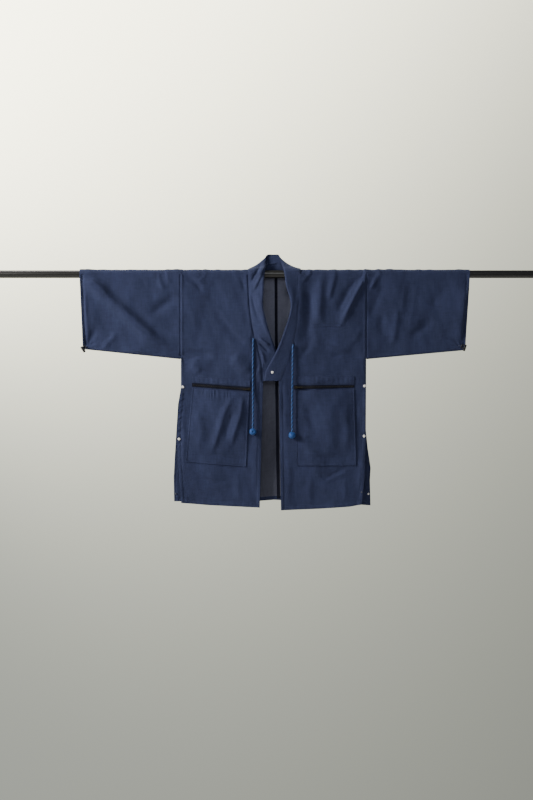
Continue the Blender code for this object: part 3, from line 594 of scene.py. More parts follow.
def stands_for(made, node):
    """A piece shown in place of a solid, which is hidden."""
    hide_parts(node)
    return made


# Body and sleeves

TURNS = np.linspace(0.0, 1.0, 13)
BODY_ROWS = np.concatenate((spaced(0.0016, 0.2600, 0.010, 0.0)[:-1], spaced(0.2600, 0.2860, 0.026)[:-1],
                            spaced(0.2860, HEM_MEAN, 0.0, 0.018)))
BODY_COLUMNS = shares(0.220, 0.018, 0.014)
NECK_COLUMNS = shares(0.080, 0.0, 0.0)[1:]
SLEEVE_COLUMNS = shares(0.320, 0.012, 0.018)
SLEEVE_ROWS = shares(0.270, 0.010, 0.014)[1:]


def body_columns(side, outer, inner, face):
    """x of a row's columns; the back runs on from the neck point to the centre back."""
    if face == "front":
        return outer + BODY_COLUMNS * (inner - outer)
    neck = side.sign * NECK_X
    return np.concatenate((outer + BODY_COLUMNS * (neck - outer), neck + NECK_COLUMNS * (inner - neck)))


def body_grid(side, face):
    """Points of one panel, from the top of the shoulder down to the hem."""
    top = body_columns(side, outer_edge(side, face, 0.0), inner_edge(side, face, 0.0), face)
    rows = [turn_points(side, face, top, turn) for turn in TURNS]
    for row_drop in BODY_ROWS:
        x = body_columns(side, outer_edge(side, face, row_drop), inner_edge(side, face, row_drop), face)
        stretch = max(row_drop - HEM_START, 0.0) / (HEM_MEAN - HEM_START)
        drop = row_drop + stretch * (hem_line(side, face, x) - HEM_MEAN)
        rows.append(panel_points(side, face, x, drop))
    return np.array(rows)


def face_turned_edges(made, side):
    """Shows the cloth's right side where vents, hems and front edges are turned in."""
    for face in made.data.polygons:
        if face.material_index == 0:
            continue
        x, y, z = face.center
        if z > -VENT_TOP:
            continue
        panel = "front" if y < 0 else "back"
        vent = abs(x - float(outer_edge(side, panel, -z)))
        hem = abs(-z - float(hem_line(side, panel, x)))
        front = abs(x - float(inner_edge(side, panel, -z))) if panel == "front" else 1.0
        if vent < VENT_FACING or hem < HEM_DEPTH or front < EDGE_TURN:
            face.material_index = 0


def body_half(side, cloth, inside):
    """One side of the coat, front and back in one piece over the shoulder."""
    name = "body_" + side.name
    grids = body_grid(side, "front"), body_grid(side, "back")
    made = cloth_piece(name + "_cloth", grids, CLOTH, cloth, inside)
    face_turned_edges(made, side)
    return stands_for(made, name)


def sleeve_low(side, x):
    """Drop of the sleeve's lower edge."""
    share = (x - side.armhole_x) / (side.cuff_low_x - side.armhole_x)
    return side.sleeve_low + share * (side.cuff_low - side.sleeve_low)


def sleeve(side, cloth, inside):
    """A tube round the rod, folded in one piece and sewn along its lower edge."""
    start = side.armhole_x + side.sign * SLEEVE_GAP
    rows = []
    for face in ("front", "back"):
        x = start + SLEEVE_COLUMNS * (side.cuff_top_x - start)
        around = [turn_points(side, face, x, turn) for turn in TURNS]
        for share in SLEEVE_ROWS:
            cuff_x = side.cuff_top_x + share * (side.cuff_low_x - side.cuff_top_x)
            x = start + SLEEVE_COLUMNS * (cuff_x - start)
            points = panel_points(side, face, x, share * sleeve_low(side, x))
            if share == 1.0:
                points[:, 1] = 0.0
            around.append(points)
        rows += around if face == "front" else around[-2:0:-1]
    name = "sleeve_" + side.name
    made = cloth_piece(name + "_cloth", (np.array(rows),), CLOTH, cloth, inside, ring=True)
    return stands_for(made, name)


# Collar, facing and tape

COLLAR_STEPS = 480
COLLAR_COLUMNS = shares(0.046, 0.008, 0.008, 0.0010, 0.0022)
TAPE_CLOTH = 0.0007
LAY_GAP = 0.0002


def spline_points(points, count):
    """Evenly counted points of a smooth curve through the given ones."""
    points = np.asarray(points, dtype=float)
    padded = np.concatenate(([2 * points[0] - points[1]], points, [2 * points[-1] - points[-2]]))
    place = np.linspace(0.0, len(points) - 1, count)
    span = np.minimum(place.astype(int), len(points) - 2)
    t = (place - span)[:, None]
    a, b, c, d = (padded[span + step] for step in range(4))
    return (2 * b + (c - a) * t + (2 * a - 5 * b + 4 * c - d) * t ** 2 + (3 * b - a - 3 * c + d) * t ** 3) / 2


def unit(rows):
    return rows / np.linalg.norm(rows, axis=-1, keepdims=True)


# Creases of the band's two ends, and how far its free edge stands up from the chest
LEFT_BAND_CREASES = (
    Crease(((-36, -48), (-50, -14), (-76, 32)), 4.5, -4.3, 0.2),
    Crease(((-32, -30), (-44, 10), (-68, 58)), 5, 4.5, 0.3),
    Crease(((-60, 52), (-48, 80), (-40, 120)), 7, 2.9, 0.0),
    Crease(((-74, 60), (-62, 110), (-48, 152)), 6, -3.8, 0.0),
    Crease(((-42, 120), (-32, 160), (-18, 196)), 5, 3.4, 0.0),
    Crease(((-50, 200), (-32, 216), (-12, 230)), 4, 4.8, 0.3),
    Crease(((-52, 216), (-36, 232), (-16, 250)), 4, -4.5, 0.0),
    Crease(((-50, 240), (-38, 256), (-30, 286)), 5, 4.3, 0.2),
)
RIGHT_BAND_CREASES = (
    Crease(((72, 20), (66, 90), (60, 150)), 7, -1.0, 0.0),
    Crease(((50, 30), (58, 70), (56, 110)), 6, 0.9, 0.0),
    Crease(((44, 180), (26, 230), (4, 280)), 7, -1.0, 0.0),
)
Roll = namedtuple("Roll", "run width height")
BAND_ROLLS = (
    Roll(0.41, 0.060, 0.0062), Roll(0.585, 0.050, 0.0022),
    Roll(0.20, 0.16, 0.0010), Roll(0.80, 0.16, 0.0010),
)
BAND_RISE = {"left": 0.0175, "right": 0.0030}
BAND_RISE_END = {"left": 0.185, "right": 0.235}


def collar_grid():
    """Points of the band: seam edge to free edge, all the way round the neck."""
    seam = spline_points([row[:3] for row in COLLAR], COLLAR_STEPS)
    free = spline_points([row[3:] for row in COLLAR], COLLAR_STEPS)
    across = COLLAR_COLUMNS[None, :, None]
    grid = seam[:, None] + across * (free - seam)[:, None]
    along = np.gradient((seam + free) / 2, axis=0)
    facing = unit(np.cross(unit(along), unit(free - seam)))
    outside = grid - np.array((0.002, 0.004, 0.0))
    outside[..., 2] = np.maximum(outside[..., 2] + 0.02, 0.0)
    facing = facing * np.sign(np.sum(outside * facing[:, None]))
    run = np.linspace(0.0, 1.0, COLLAR_STEPS)[:, None]
    shares_across = COLLAR_COLUMNS[None]
    inward = np.sin(math.pi * np.clip(shares_across, 0.0, 1.0)) ** 0.5
    out = 0.0005 * np.sin(37 * run + 5 * shares_across) + 0.0004 * np.sin(71 * run + 1.0)
    for roll in BAND_ROLLS:
        out = out + roll.height * np.exp(-((run - roll.run) / roll.width) ** 2)
    sunk = np.where(run < 0.5, 0.0016, 0.0003)
    out = out * inward - sunk * np.exp(-(shares_across / 0.10) ** 2)
    out = out - 0.0022 * np.exp(-((1 - shares_across) / 0.055) ** 2)
    grid = grid + out[:, :, None] * facing[:, None]

    x, drop = grid[..., 0], -grid[..., 2]
    front = smooth_step((drop + 0.002) / 0.03) * (grid[..., 1] < 0)
    near = smooth_step((drop + 0.040) / 0.02) * (grid[..., 1] < 0.012)
    for half, creases in (("left", LEFT_BAND_CREASES), ("right", RIGHT_BAND_CREASES)):
        here = run < 0.5 if half == "left" else run >= 0.5
        settle = 1 - smooth_step((drop - BAND_RISE_END[half]) / 0.055)
        rise = BAND_RISE[half] * settle * shares_across ** 1.2
        lift = front * rise + near * crease_height(creases, x, drop) * inward
        grid[..., 1] -= np.where(here, lift, 0.0)
    return grid


def collar(cloth):
    """The double band round the neck, its two ends crossing at the chest."""
    made = cloth_piece("collar_band", (collar_grid(),), BAND_CLOTH, cloth)
    return stands_for(made, "collar")


def side_of(x, drop=0.0):
    return SIDES["left"] if x < table(CENTRE_BACK, drop) else SIDES["right"]


def neck_facing(cloth):
    """The strip inside the back of the neck, just under the collar seam."""
    turns = np.linspace(0.08, 0.66, 12)
    inward = np.array((0.0, (CLOTH + TAPE_CLOTH) / 2 + 2 * LAY_GAP, 0.0))
    columns = []
    for x in np.linspace(-0.042, 0.049, 46):
        at = np.array([x])
        columns.append([turn_points(side_of(x), "back", at, turn)[0] - inward for turn in turns])
    grid = np.array(columns).transpose(1, 0, 2)
    made = cloth_piece("neck_facing_cloth", (grid,), TAPE_CLOTH, cloth)
    return stands_for(made, "neck_facing")


def back_seam_tape(tape):
    """The tape over the centre-back seam, on the inside."""
    drops = spaced(0.0115, 0.7185, 0.0, 0.0, coarse=0.0030)
    middle = table(CENTRE_BACK, drops)
    inward = np.array((0.0, (CLOTH + TAPE_CLOTH) / 2 + LAY_GAP, 0.0))
    columns = []
    for across in np.linspace(-0.0045, 0.0045, 7):
        side = SIDES["left" if across < 0 else "right"]
        columns.append(panel_points(side, "back", middle + across, drops) - inward)
    grid = np.array(columns).transpose(1, 0, 2)
    made = cloth_piece("back_seam_tape_cloth", (grid,), TAPE_CLOTH, tape)
    return stands_for(made, "back_seam_tape")


# Pockets, strips, zip tapes and welt, laid on the front

Corner = namedtuple("Corner", "x drop")
POCKETS = {
    "left": (Corner(-0.2618, 0.3640), Corner(-0.0790, 0.3800),
             Corner(-0.0896, 0.6160), Corner(-0.2826, 0.6003)),
    "right": (Corner(0.0685, 0.3730), Corner(0.2560, 0.3670),
              Corner(0.2620, 0.6120), Corner(0.0698, 0.6128)),
}
ZIPS = {
    "left": (Corner(-0.2630, 0.3480), Corner(-0.0752, 0.3622),
             Corner(-0.0752, 0.3750), Corner(-0.2630, 0.3600)),
    "right": (Corner(0.0624, 0.3560), Corner(0.2560, 0.3545),
              Corner(0.2560, 0.3630), Corner(0.0624, 0.3690)),
}
STRIPS = {
    "left": (Corner(-0.2620, 0.3260), Corner(-0.0770, 0.3400),
             Corner(-0.0770, 0.3610), Corner(-0.2620, 0.3465)),
    "right": (Corner(0.0700, 0.3260), Corner(0.2560, 0.3260),
              Corner(0.2560, 0.3530), Corner(0.0700, 0.3545)),
}
WELT = (Corner(0.1180, 0.1610), Corner(0.2140, 0.1610), Corner(0.2140, 0.1680), Corner(0.1180, 0.1680))
WELT_LIFT = 0.0005
POCKET_PUFF = 0.005
POCKET_CREASES = {
    "left": (
        Crease(((-129, 382), (-161, 446), (-183, 524), (-202, 582)), 10, 4.8, 0.2),
        Crease(((-98, 380), (-106, 446), (-129, 516), (-138, 554)), 8, 4.5, 0.2),
        Crease(((-125, 426), (-150, 492), (-160, 540)), 9, -3.7, 0.0),
        Crease(((-240, 420), (-232, 500), (-240, 570)), 14, 2.0, 0.0),
    ),
    "right": (
        Crease(((100, 400), (112, 436), (126, 510)), 14, -2.2, 0.0),
        Crease(((172, 380), (176, 470), (186, 590)), 26, 3.6, 0.0),
        Crease(((225, 410), (232, 500), (226, 580)), 13, 2.5, 0.0),
        Crease(((96, 500), (110, 560), (150, 590)), 12, 1.8, 0.0),
    ),
}


def laid_grid(side, corners, step, edge):
    """x, drop and shares of a four-cornered piece's points, close together at its edges."""
    top_left, top_right, low_right, low_left = corners
    width = math.hypot(top_right.x - top_left.x, top_right.drop - top_left.drop)
    height = math.hypot(low_left.x - top_left.x, low_left.drop - top_left.drop)
    across = shares(width, edge, edge, 0.0012, step)[None, :]
    down = shares(height, edge, edge, 0.0012, step)[:, None]
    top = [(1 - across) * a + across * b for a, b in zip(top_left, top_right)]
    low = [(1 - across) * a + across * b for a, b in zip(low_left, low_right)]
    x, drop = ((1 - down) * upper + down * lower for upper, lower in zip(top, low))
    return x, drop, across, down, width, height


def laid_points(side, x, drop, out):
    """Points of the front panel, moved out."""
    points = panel_points(side, "front", x, drop)
    points[..., 1] -= out
    return points


def pocket_grid(side):
    """Points of a patch pocket, puffed, creased, and drawn in along its stitched edges."""
    x, drop, across, down, width, height = laid_grid(side, POCKETS[side.name], 0.0028, 0.012)
    swell = POCKET_PUFF * np.sqrt(np.sin(math.pi * across) * np.sin(math.pi * np.minimum(down + 0.12, 1.0)))
    edge = np.minimum(np.minimum(across, 1 - across) * width, (1 - down) * height)
    inside = smooth_step(edge / 0.024) * smooth_step(down * height / 0.020)
    folds = crease_height(POCKET_CREASES[side.name], x, drop)
    at_side = np.minimum(across, 1 - across) * width < edge + 1e-6
    along = np.where(at_side, drop, x)
    gathers = edge_puckers(edge, along, 0.0004, 0.012)
    mouth = 0.0
    if side.name == "left":
        reach = np.exp(-((x + 0.187) / 0.045) ** 2) * np.exp(-((down * height - 0.012) / 0.016) ** 2)
        uneven = 0.6 + 0.5 * np.sin(x * 137 + drop * 90)
        mouth = 0.0013 * np.sin(x * 560 + 2.4 * np.sin(x * 91)) * uneven * reach
    out = CLOTH + LAY_GAP + np.maximum(swell + inside * folds + 0.7 * gathers, 0.0)
    out = out + turned_edge(edge, 0.0045) + mouth * smooth_step(edge / 0.01)
    return laid_points(side, x, drop, np.maximum(out, CLOTH + LAY_GAP))


def pocket(side, cloth):
    """A patch pocket, sewn on along three edges and open at the zip."""
    name = "pocket_" + side.name
    return stands_for(cloth_piece(name + "_cloth", (pocket_grid(side),), CLOTH, cloth), name)


def pocket_strip(side, cloth):
    """The strip between the seam above a pocket and its zip."""
    x, drop, across, down, width, height = laid_grid(side, STRIPS[side.name], 0.0028, 0.005)
    round_over = 0.0009 * np.sin(math.pi * down) ** 0.6
    ripple = 0.00035 * np.sin(x * 410 + 1.0) * np.sin(math.pi * down)
    out = CLOTH + LAY_GAP + np.maximum(round_over + ripple, 0.0)
    name = "pocket_strip_" + side.name
    made = cloth_piece(name + "_cloth", (laid_points(side, x, drop, out),), CLOTH, cloth)
    return stands_for(made, name)


def zip_tape(side, tape):
    """The zip's tape, between the strip and the pocket's upper edge."""
    x, drop, across, down, width, height = laid_grid(side, ZIPS[side.name], 0.0030, 0.0)
    out = np.full(x.shape, CLOTH + LAY_GAP)
    name = "zip_tape_" + side.name
    made = cloth_piece(name + "_cloth", (laid_points(side, x, drop, out),), TAPE_CLOTH, tape)
    return stands_for(made, name)


def chest_welt(cloth):
    """The narrow welt on the right side of the chest."""
    side = SIDES["right"]
    x, drop, across, down, width, height = laid_grid(side, WELT, 0.0020, 0.002)
    out = CLOTH / 2 + LAY_GAP + TAPE_CLOTH / 2 + WELT_LIFT * np.sin(math.pi * down) + 0.0 * x
    made = cloth_piece("chest_welt_cloth", (laid_points(side, x, drop, out),), TAPE_CLOTH, cloth)
    return stands_for(made, "chest_welt")


# Cords and knots

Route = namedtuple("Route", "x y z")
CORDS = {
    "left": (Route(-0.0668, -0.0186, -0.2050), Route(-0.0672, -0.0190, -0.2400),
             Route(-0.0678, -0.0196, -0.2900), Route(-0.0678, -0.0202, -0.3400),
             Route(-0.0674, -0.0210, -0.3900), Route(-0.0672, -0.0228, -0.4400),
             Route(-0.0676, -0.0250, -0.4750), Route(-0.0680, -0.0261, -0.4925)),
    "right": (Route(0.0600, -0.0212, -0.2250), Route(0.0590, -0.0212, -0.2500),
              Route(0.0586, -0.0208, -0.2900), Route(0.0582, -0.0206, -0.3400),
              Route(0.0576, -0.0210, -0.3900), Route(0.0572, -0.0228, -0.4450),
              Route(0.0576, -0.0250, -0.4860), Route(0.0570, -0.0261, -0.5035)),
}
CORD_DIAMETER = 0.0065
KNOT_RADIUS = 0.0112
CORD_POINTS = 240
CORD_ROUND = 28
TWIST_PITCH = 0.0280


def twisted_tube(name, route, diameter, pitch, paint):
    """A cord of two twisted strands, as one closed tube along its route."""
    line = spline_points(route, CORD_POINTS)
    along = unit(np.gradient(line, axis=0))
    run = np.concatenate(([0.0], np.cumsum(np.linalg.norm(np.diff(line, axis=0), axis=1))))
    across = unit(np.cross(along, (0.0, 1.0, 0.0)))
    out = unit(np.cross(along, across))
    angle = np.linspace(0.0, 2 * math.pi, CORD_ROUND, endpoint=False)[None, :]
    turn = angle - (2 * math.pi * run / pitch)[:, None]
    crown = np.abs(np.cos(turn)) ** 0.7
    strand = 0.66 + 0.32 * crown
    yarn = 0.012 * np.cos(9 * angle + (2 * math.pi * run / (0.6 * pitch))[:, None])
    radius = diameter / 2 * (strand + yarn) * np.minimum(1.0, np.sqrt((run + 0.0006) / 0.002))[:, None]
    points = line[:, None] + radius[..., None] * (np.cos(angle)[..., None] * across[:, None]
                                                  + np.sin(angle)[..., None] * out[:, None])
    shape = bmesh.new()
    rings = [[shape.verts.new(point) for point in ring] for ring in points]
    for upper, lower in zip(rings, rings[1:]):
        for step in range(CORD_ROUND):
            shape.faces.new((upper[step], upper[step - 1], lower[step - 1], lower[step]))
    shape.faces.new(rings[0])
    shape.faces.new(rings[-1])
    bmesh.ops.recalc_face_normals(shape, faces=shape.faces)
    made = solid(name, shape, paint)
    # The strands' crests, kept on the mesh for the painted shade in the grooves between them.
    shade = made.data.attributes.new("strand", "FLOAT", "POINT")
    shade.data.foreach_set("value", crown.ravel())
    return made, line


def solid(name, shape, paint, body=COAT, angle=40):
    """A finished object from a mesh being made, riding on a body."""
    data = bpy.data.meshes.new(name)
    shape.to_mesh(data)
    shape.free()
    data.materials.append(paint)
    data.shade_smooth()
    data.set_sharp_from_angle(angle=math.radians(angle))
    made = bpy.data.objects.new(name, data)
    bpy.context.scene.collection.objects.link(made)
    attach(made, body)
    return made


def ball_knot(side, paint):
    """A round knot: the left one shows the hole in its middle, the right one is closed."""
    last = CORDS[side.name][-1]
    centre = Vector((last.x, last.y, last.z - KNOT_RADIUS - LAY_GAP))
    shape = bmesh.new()
    bmesh.ops.create_uvsphere(shape, u_segments=48, v_segments=32, radius=1.0)
    hole = Vector((0.12, -0.97, 0.10)) if side.name == "left" else Vector((0.1, -0.75, 0.65))
    depth = 0.30 if side.name == "left" else 0.12
    hole.normalize()
    for vert in shape.verts:
        way = vert.co.normalized()
        winding = math.atan2(way.x, way.z)
        dimple = depth * math.exp(-(way.angle(hole) / 0.42) ** 2)
        strands = 0.05 * abs(math.sin(2.5 * winding + 3.0 * way.y)) * (1 - math.exp(-(way.angle(hole) / 0.5) ** 2))
        vert.co = way * KNOT_RADIUS * (1.0 - 0.05 + strands - dimple)
    bmesh.ops.translate(shape, verts=shape.verts, vec=centre)
    return stands_for(solid("ball_knot_" + side.name, shape, paint), "knot_" + side.name)


def hanging_cord(side, paint, knot_paint):
    """A cord that comes out of the collar's seam and hangs down to its knot."""
    name = "cord_" + side.name
    made, line = twisted_tube("twisted_" + name, CORDS[side.name], CORD_DIAMETER, TWIST_PITCH, paint)
    stands_for(made, name)
    knot = ball_knot(side, knot_paint)
    return made


# Finishes


def node_group(name, inputs, outputs):
    """An empty shader group with named inputs and outputs."""
    group = bpy.data.node_groups.new(name, "ShaderNodeTree")
    for label, kind, value in inputs:
        socket = group.interface.new_socket(label, in_out="INPUT", socket_type=kind)
        if value is not None:
            socket.default_value = value
    for label, kind in outputs:
        group.interface.new_socket(label, in_out="OUTPUT", socket_type=kind)
    return group, group.nodes.new("NodeGroupInput"), group.nodes.new("NodeGroupOutput")


def maths(tree, operation, first, second=None, third=None):
    """A Math node's result; each operand is a socket or a number."""
    node = tree.nodes.new("ShaderNodeMath")
    node.operation = operation
    for socket, operand in zip(node.inputs, (first, second, third)):
        if operand is None:
            continue
        if isinstance(operand, (int, float)):
            socket.default_value = operand
        else:
            tree.links.new(operand, socket)
    return node.outputs[0]


def noise(tree, place, across, down, detail=2.0):
    """Noise whose grains are across and down metres large, from 0 to 1."""
    stretch = tree.nodes.new("ShaderNodeMapping")
    stretch.inputs["Scale"].default_value = (1 / across, 1 / down, 1.0)
    tree.links.new(place, stretch.inputs["Vector"])
    grain = tree.nodes.new("ShaderNodeTexNoise")
    grain.inputs["Scale"].default_value = 1.0
    grain.inputs["Detail"].default_value = detail
    tree.links.new(stretch.outputs[0], grain.inputs["Vector"])
    return grain.outputs[0]


def woven_threads():
    """Plain weave of slubby threads: a tone near 1 and a thread height."""
    group, given, result = node_group(
        "woven threads",
        (("Place", "NodeSocketVector", None), ("Thread", "NodeSocketFloat", 0.0011),
         ("Slubs", "NodeSocketFloat", 0.35)),
        (("Tone", "NodeSocketFloat"), ("Height", "NodeSocketFloat")))
    place = given.outputs["Place"]
    split = group.nodes.new("ShaderNodeSeparateXYZ")
    group.links.new(place, split.inputs[0])
    warp_turn = maths(group, "DIVIDE", maths(group, "MULTIPLY", split.outputs[0], 2 * math.pi),
                      given.outputs["Thread"])
    weft_turn = maths(group, "DIVIDE", maths(group, "MULTIPLY", split.outputs[1], 2 * math.pi),
                      given.outputs["Thread"])
    weave = maths(group, "MULTIPLY", maths(group, "SINE", warp_turn), maths(group, "SINE", weft_turn))
    slubs = None
    for across, down, share in ((0.0022, 0.034, 0.42), (0.030, 0.0022, 0.38), (0.0060, 0.070, 0.30),
                                (0.060, 0.0060, 0.22)):
        part = maths(group, "MULTIPLY", maths(group, "SUBTRACT", noise(group, place, across, down), 0.5), share)
        slubs = part if slubs is None else maths(group, "ADD", slubs, part)
    tone = maths(group, "ADD", maths(group, "MULTIPLY", slubs, given.outputs["Slubs"]), 1.0)
    group.links.new(maths(group, "MULTIPLY_ADD", weave, 0.03, tone), result.inputs["Tone"])
    group.links.new(maths(group, "MULTIPLY_ADD", slubs, 1.5, weave), result.inputs["Height"])
    return group


def washed_unevenness():
    """Patches of cloth that took the dye a little more or less: a tone near 1."""
    group, given, result = node_group(
        "washed unevenness",
        (("Place", "NodeSocketVector", None), ("Amount", "NodeSocketFloat", 0.3)),
        (("Tone", "NodeSocketFloat"),))
    broad = maths(group, "SUBTRACT", noise(group, given.outputs["Place"], 0.055, 0.075, 3.0), 0.5)
    fine = maths(group, "SUBTRACT", noise(group, given.outputs["Place"], 0.009, 0.012, 3.0), 0.5)
    both = maths(group, "MULTIPLY_ADD", fine, 0.6, broad)
    tone = maths(group, "MULTIPLY_ADD", both, given.outputs["Amount"], 1.0)
    group.links.new(tone, result.inputs["Tone"])
    return group


def finish(name, colour, roughness, metallic=0.0, **sockets):
    """A Principled material and its shader; further inputs by their names, _ for a space."""
    made = bpy.data.materials.new(name)
    made.use_nodes = True
    shader = made.node_tree.nodes["Principled BSDF"]
    shader.inputs["Base Color"].default_value = (*colour, 1.0)
    shader.inputs["Roughness"].default_value = roughness
    shader.inputs["Metallic"].default_value = metallic
    for label, value in sockets.items():
        shader.inputs[label.replace("_", " ")].default_value = value
    made.diffuse_color = (*colour, 1.0)
    return made, shader


def woven_finish(name, colour, roughness, groups, thread, slubs, amount, bump, low=1.0, **sockets):
    """A woven cloth: its colour varied by the threads and by the wash, with a thread relief.

    low is its tone at the hem, compared with that at the neck: a painted shade, darker towards the hem.
    """
    made, shader = finish(name, colour, roughness, **sockets)
    tree = made.node_tree
    weave_group, wash_group = groups
    place = tree.nodes.new("ShaderNodeUVMap")
    place.uv_map = "threads"
    weave = tree.nodes.new("ShaderNodeGroup")
    weave.node_tree = weave_group
    weave.inputs["Thread"].default_value = thread
    weave.inputs["Slubs"].default_value = slubs
    wash = tree.nodes.new("ShaderNodeGroup")
    wash.node_tree = wash_group
    wash.inputs["Amount"].default_value = amount
    tree.links.new(place.outputs[0], weave.inputs["Place"])
    tree.links.new(place.outputs[0], wash.inputs["Place"])
    tone = maths(tree, "MULTIPLY", weave.outputs["Tone"], wash.outputs["Tone"])
    # Painted shade: the tone falls with height from the neck down to the hem.
    if low < 1.0:
        where = tree.nodes.new("ShaderNodeTexCoord")
        height = tree.nodes.new("ShaderNodeSeparateXYZ")
        tree.links.new(where.outputs["Object"], height.inputs[0])
        fall = tree.nodes.new("ShaderNodeMapRange")
        for label, value in (("From Min", -0.50), ("From Max", -0.22), ("To Min", low), ("To Max", 1.0)):
            fall.inputs[label].default_value = value
        tree.links.new(height.outputs["Z"], fall.inputs["Value"])
        tone = maths(tree, "MULTIPLY", tone, fall.outputs[0])
    shade = tree.nodes.new("ShaderNodeVectorMath")
    shade.operation = "SCALE"
    shade.inputs[0].default_value = colour
    tree.links.new(tone, shade.inputs["Scale"])
    tree.links.new(shade.outputs[0], shader.inputs["Base Color"])
    relief = tree.nodes.new("ShaderNodeBump")
    relief.inputs["Strength"].default_value = 1.0
    relief.inputs["Distance"].default_value = bump
    tree.links.new(weave.outputs["Height"], relief.inputs["Height"])
    tree.links.new(relief.outputs[0], shader.inputs["Normal"])
    return made


def cord_finish(name, groove_painted_shade, crown):
    """A twisted cord: painted shade between its strands, its own blue on them."""
    made, shader = finish(name, crown, 0.60, Sheen_Weight=0.2, Sheen_Tint=(0.4, 0.6, 1.0, 1.0))
    tree = made.node_tree
    strand = tree.nodes.new("ShaderNodeAttribute")
    strand.attribute_name = "strand"
    mix = tree.nodes.new("ShaderNodeMix")
    mix.data_type = "RGBA"
    mix.inputs[6].default_value = (*groove_painted_shade, 1.0)
    mix.inputs[7].default_value = (*crown, 1.0)
    # Painted shade: the groove colour where the strands' crests fall away.
    tree.links.new(maths(tree, "POWER", strand.outputs["Fac"], 3.5), mix.inputs[0])
    tree.links.new(mix.outputs[2], shader.inputs["Base Color"])
    return made


def finishes():
    """All materials, by a short name of what they finish."""
    groups = woven_threads(), washed_unevenness()
    made = {
        "cloth": woven_finish("indigo cloth", (0.0275, 0.0355, 0.0850), 0.90, groups, 0.0011, 0.9, 0.45, 0.00010,
                              Sheen_Weight=0.25, Sheen_Roughness=0.45, Sheen_Tint=(0.55, 0.62, 0.85, 1.0),
                              Specular_IOR_Level=0.25),
        # The inside's low of 0.52 paints shade on its lower part, where the fronts shade it.
        "inside": woven_finish("inside of the cloth", (0.1700, 0.1780, 0.2450), 0.92, groups, 0.0011, 0.6, 0.3,
                               0.00008, low=0.52, Sheen_Weight=0.15, Specular_IOR_Level=0.2),
        "tape": woven_finish("black seam tape", (0.0035, 0.0045, 0.0150), 0.85, groups, 0.0008, 0.3, 0.1, 0.00005,
                             Specular_IOR_Level=0.3),
        "thread": finish("sewing thread", (0.016, 0.020, 0.045), 0.75)[0],
        "teeth": finish("zip teeth", (0.0150, 0.0140, 0.0115), 0.5, 0.4)[0],
        "pull": finish("zip slider metal", (0.040, 0.034, 0.024), 0.48, 0.8)[0],
        "snap": finish("pearly snap cap", (0.940, 0.910, 0.850), 0.30, 0.0, Coat_Weight=0.6, Coat_Roughness=0.1)[0],
        "socket": finish("dull snap socket", (0.100, 0.105, 0.125), 0.50, 0.6)[0],
        "toggle": finish("toggle plastic", (0.012, 0.012, 0.014), 0.45)[0],
        "rod": finish("rod paint", (0.0130, 0.0125, 0.0100), 0.30, Specular_IOR_Level=0.7)[0],
        # The cord's first colour is painted shade in the grooves between its strands.
        "cord": cord_finish("blue cord", (0.0018, 0.0130, 0.0600), (0.0090, 0.0780, 0.2750)),
        "knot": finish("blue knot", (0.0070, 0.0640, 0.2450), 0.60, Sheen_Weight=0.2,
                       Sheen_Tint=(0.4, 0.6, 1.0, 1.0))[0],
    }
    return made


# Fasteners

Pull = namedtuple("Pull", "pivot_x pivot_drop points_to")
PULLS = {"left": Pull(-0.0800, 0.3682, -1), "right": Pull(0.0700, 0.3622, 1)}
CAD_CLOTH = 0.0015
CAD_GAP = 0.00035
SLIDER_SIZE = (0.0095, 0.0035, 0.0080)
TAB_LENGTH = 0.0205
TAB_HEIGHT = 0.0052
TAB_THICKNESS = 0.0015
TAB_HEEL = 0.0007
SNAP_RADIUS = 0.0043
SNAP_HEIGHT = 0.002
SnapPlace = namedtuple("SnapPlace", "name side face x drop size paint")
SNAPS = (
    SnapPlace("snap_left_top", "left", "front", -0.2925, 0.3610, 1.0, "snap"),
    SnapPlace("snap_left_middle", "left", "front", -0.3040, 0.5270, 1.0, "snap"),
    SnapPlace("snap_left_low", "left", "back", -0.3150, 0.7030, 0.55, "socket"),
    SnapPlace("snap_right_top", "right", "front", 0.2885, 0.3575, 1.0, "snap"),
    SnapPlace("snap_right_middle", "right", "front", 0.2870, 0.5178, 1.0, "snap"),
    SnapPlace("snap_right_low", "right", "front", 0.2790, 0.6970, 0.6, "socket"),
    SnapPlace("snap_right_back", "right", "back", 0.3020, 0.7034, 0.7, "snap"),
)
COLLAR_SNAP = Vector((-0.0061, -0.0212, -0.3142))
SNAP_PROFILE = ((0.0, 1.0), (0.35, 0.98), (0.62, 0.90), (0.78, 0.74), (0.84, 0.60), (0.90, 0.64), (0.96, 0.52),
                (1.0, 0.20), (1.0, -1.0), (0.0, -1.0))
SNAP_ROUND = 32


def snap_cap(name, place, paint, size=1.0):
    """A turned snap cap with a domed middle and a rolled rim; its axis is the Y axis."""
    shape = bmesh.new()
    rings = []
    for reach, height in SNAP_PROFILE:
        y = place.y - height * SNAP_HEIGHT / 2
        if reach == 0.0:
            rings.append([shape.verts.new((place.x, y, place.z))] * SNAP_ROUND)
            continue
        ring = []
        for step in range(SNAP_ROUND):
            angle = 2 * math.pi * step / SNAP_ROUND
            ring.append(shape.verts.new((place.x + reach * size * SNAP_RADIUS * math.cos(angle), y,
                                         place.z + reach * size * SNAP_RADIUS * math.sin(angle))))
        rings.append(ring)
    for near, far in zip(rings, rings[1:]):
        for step in range(SNAP_ROUND):
            corners = [near[step], near[step - 1], far[step - 1], far[step]]
            shape.faces.new(list(dict.fromkeys(corners)))
    bmesh.ops.recalc_face_normals(shape, faces=shape.faces)
    return stands_for(solid(name + "_cap", shape, paint, angle=50), name)


def face_reach(side, face, x, drop, radius):
    """A panel's depth under a round piece: its highest place in front, its lowest behind."""
    angles = np.arange(8) * math.pi / 4
    points = panel_points(side, face, x + radius * np.cos(angles), drop + radius * np.sin(angles))
    depths = np.abs(points[:, 1])
    return float(depths.max() if face == "front" else depths.min())


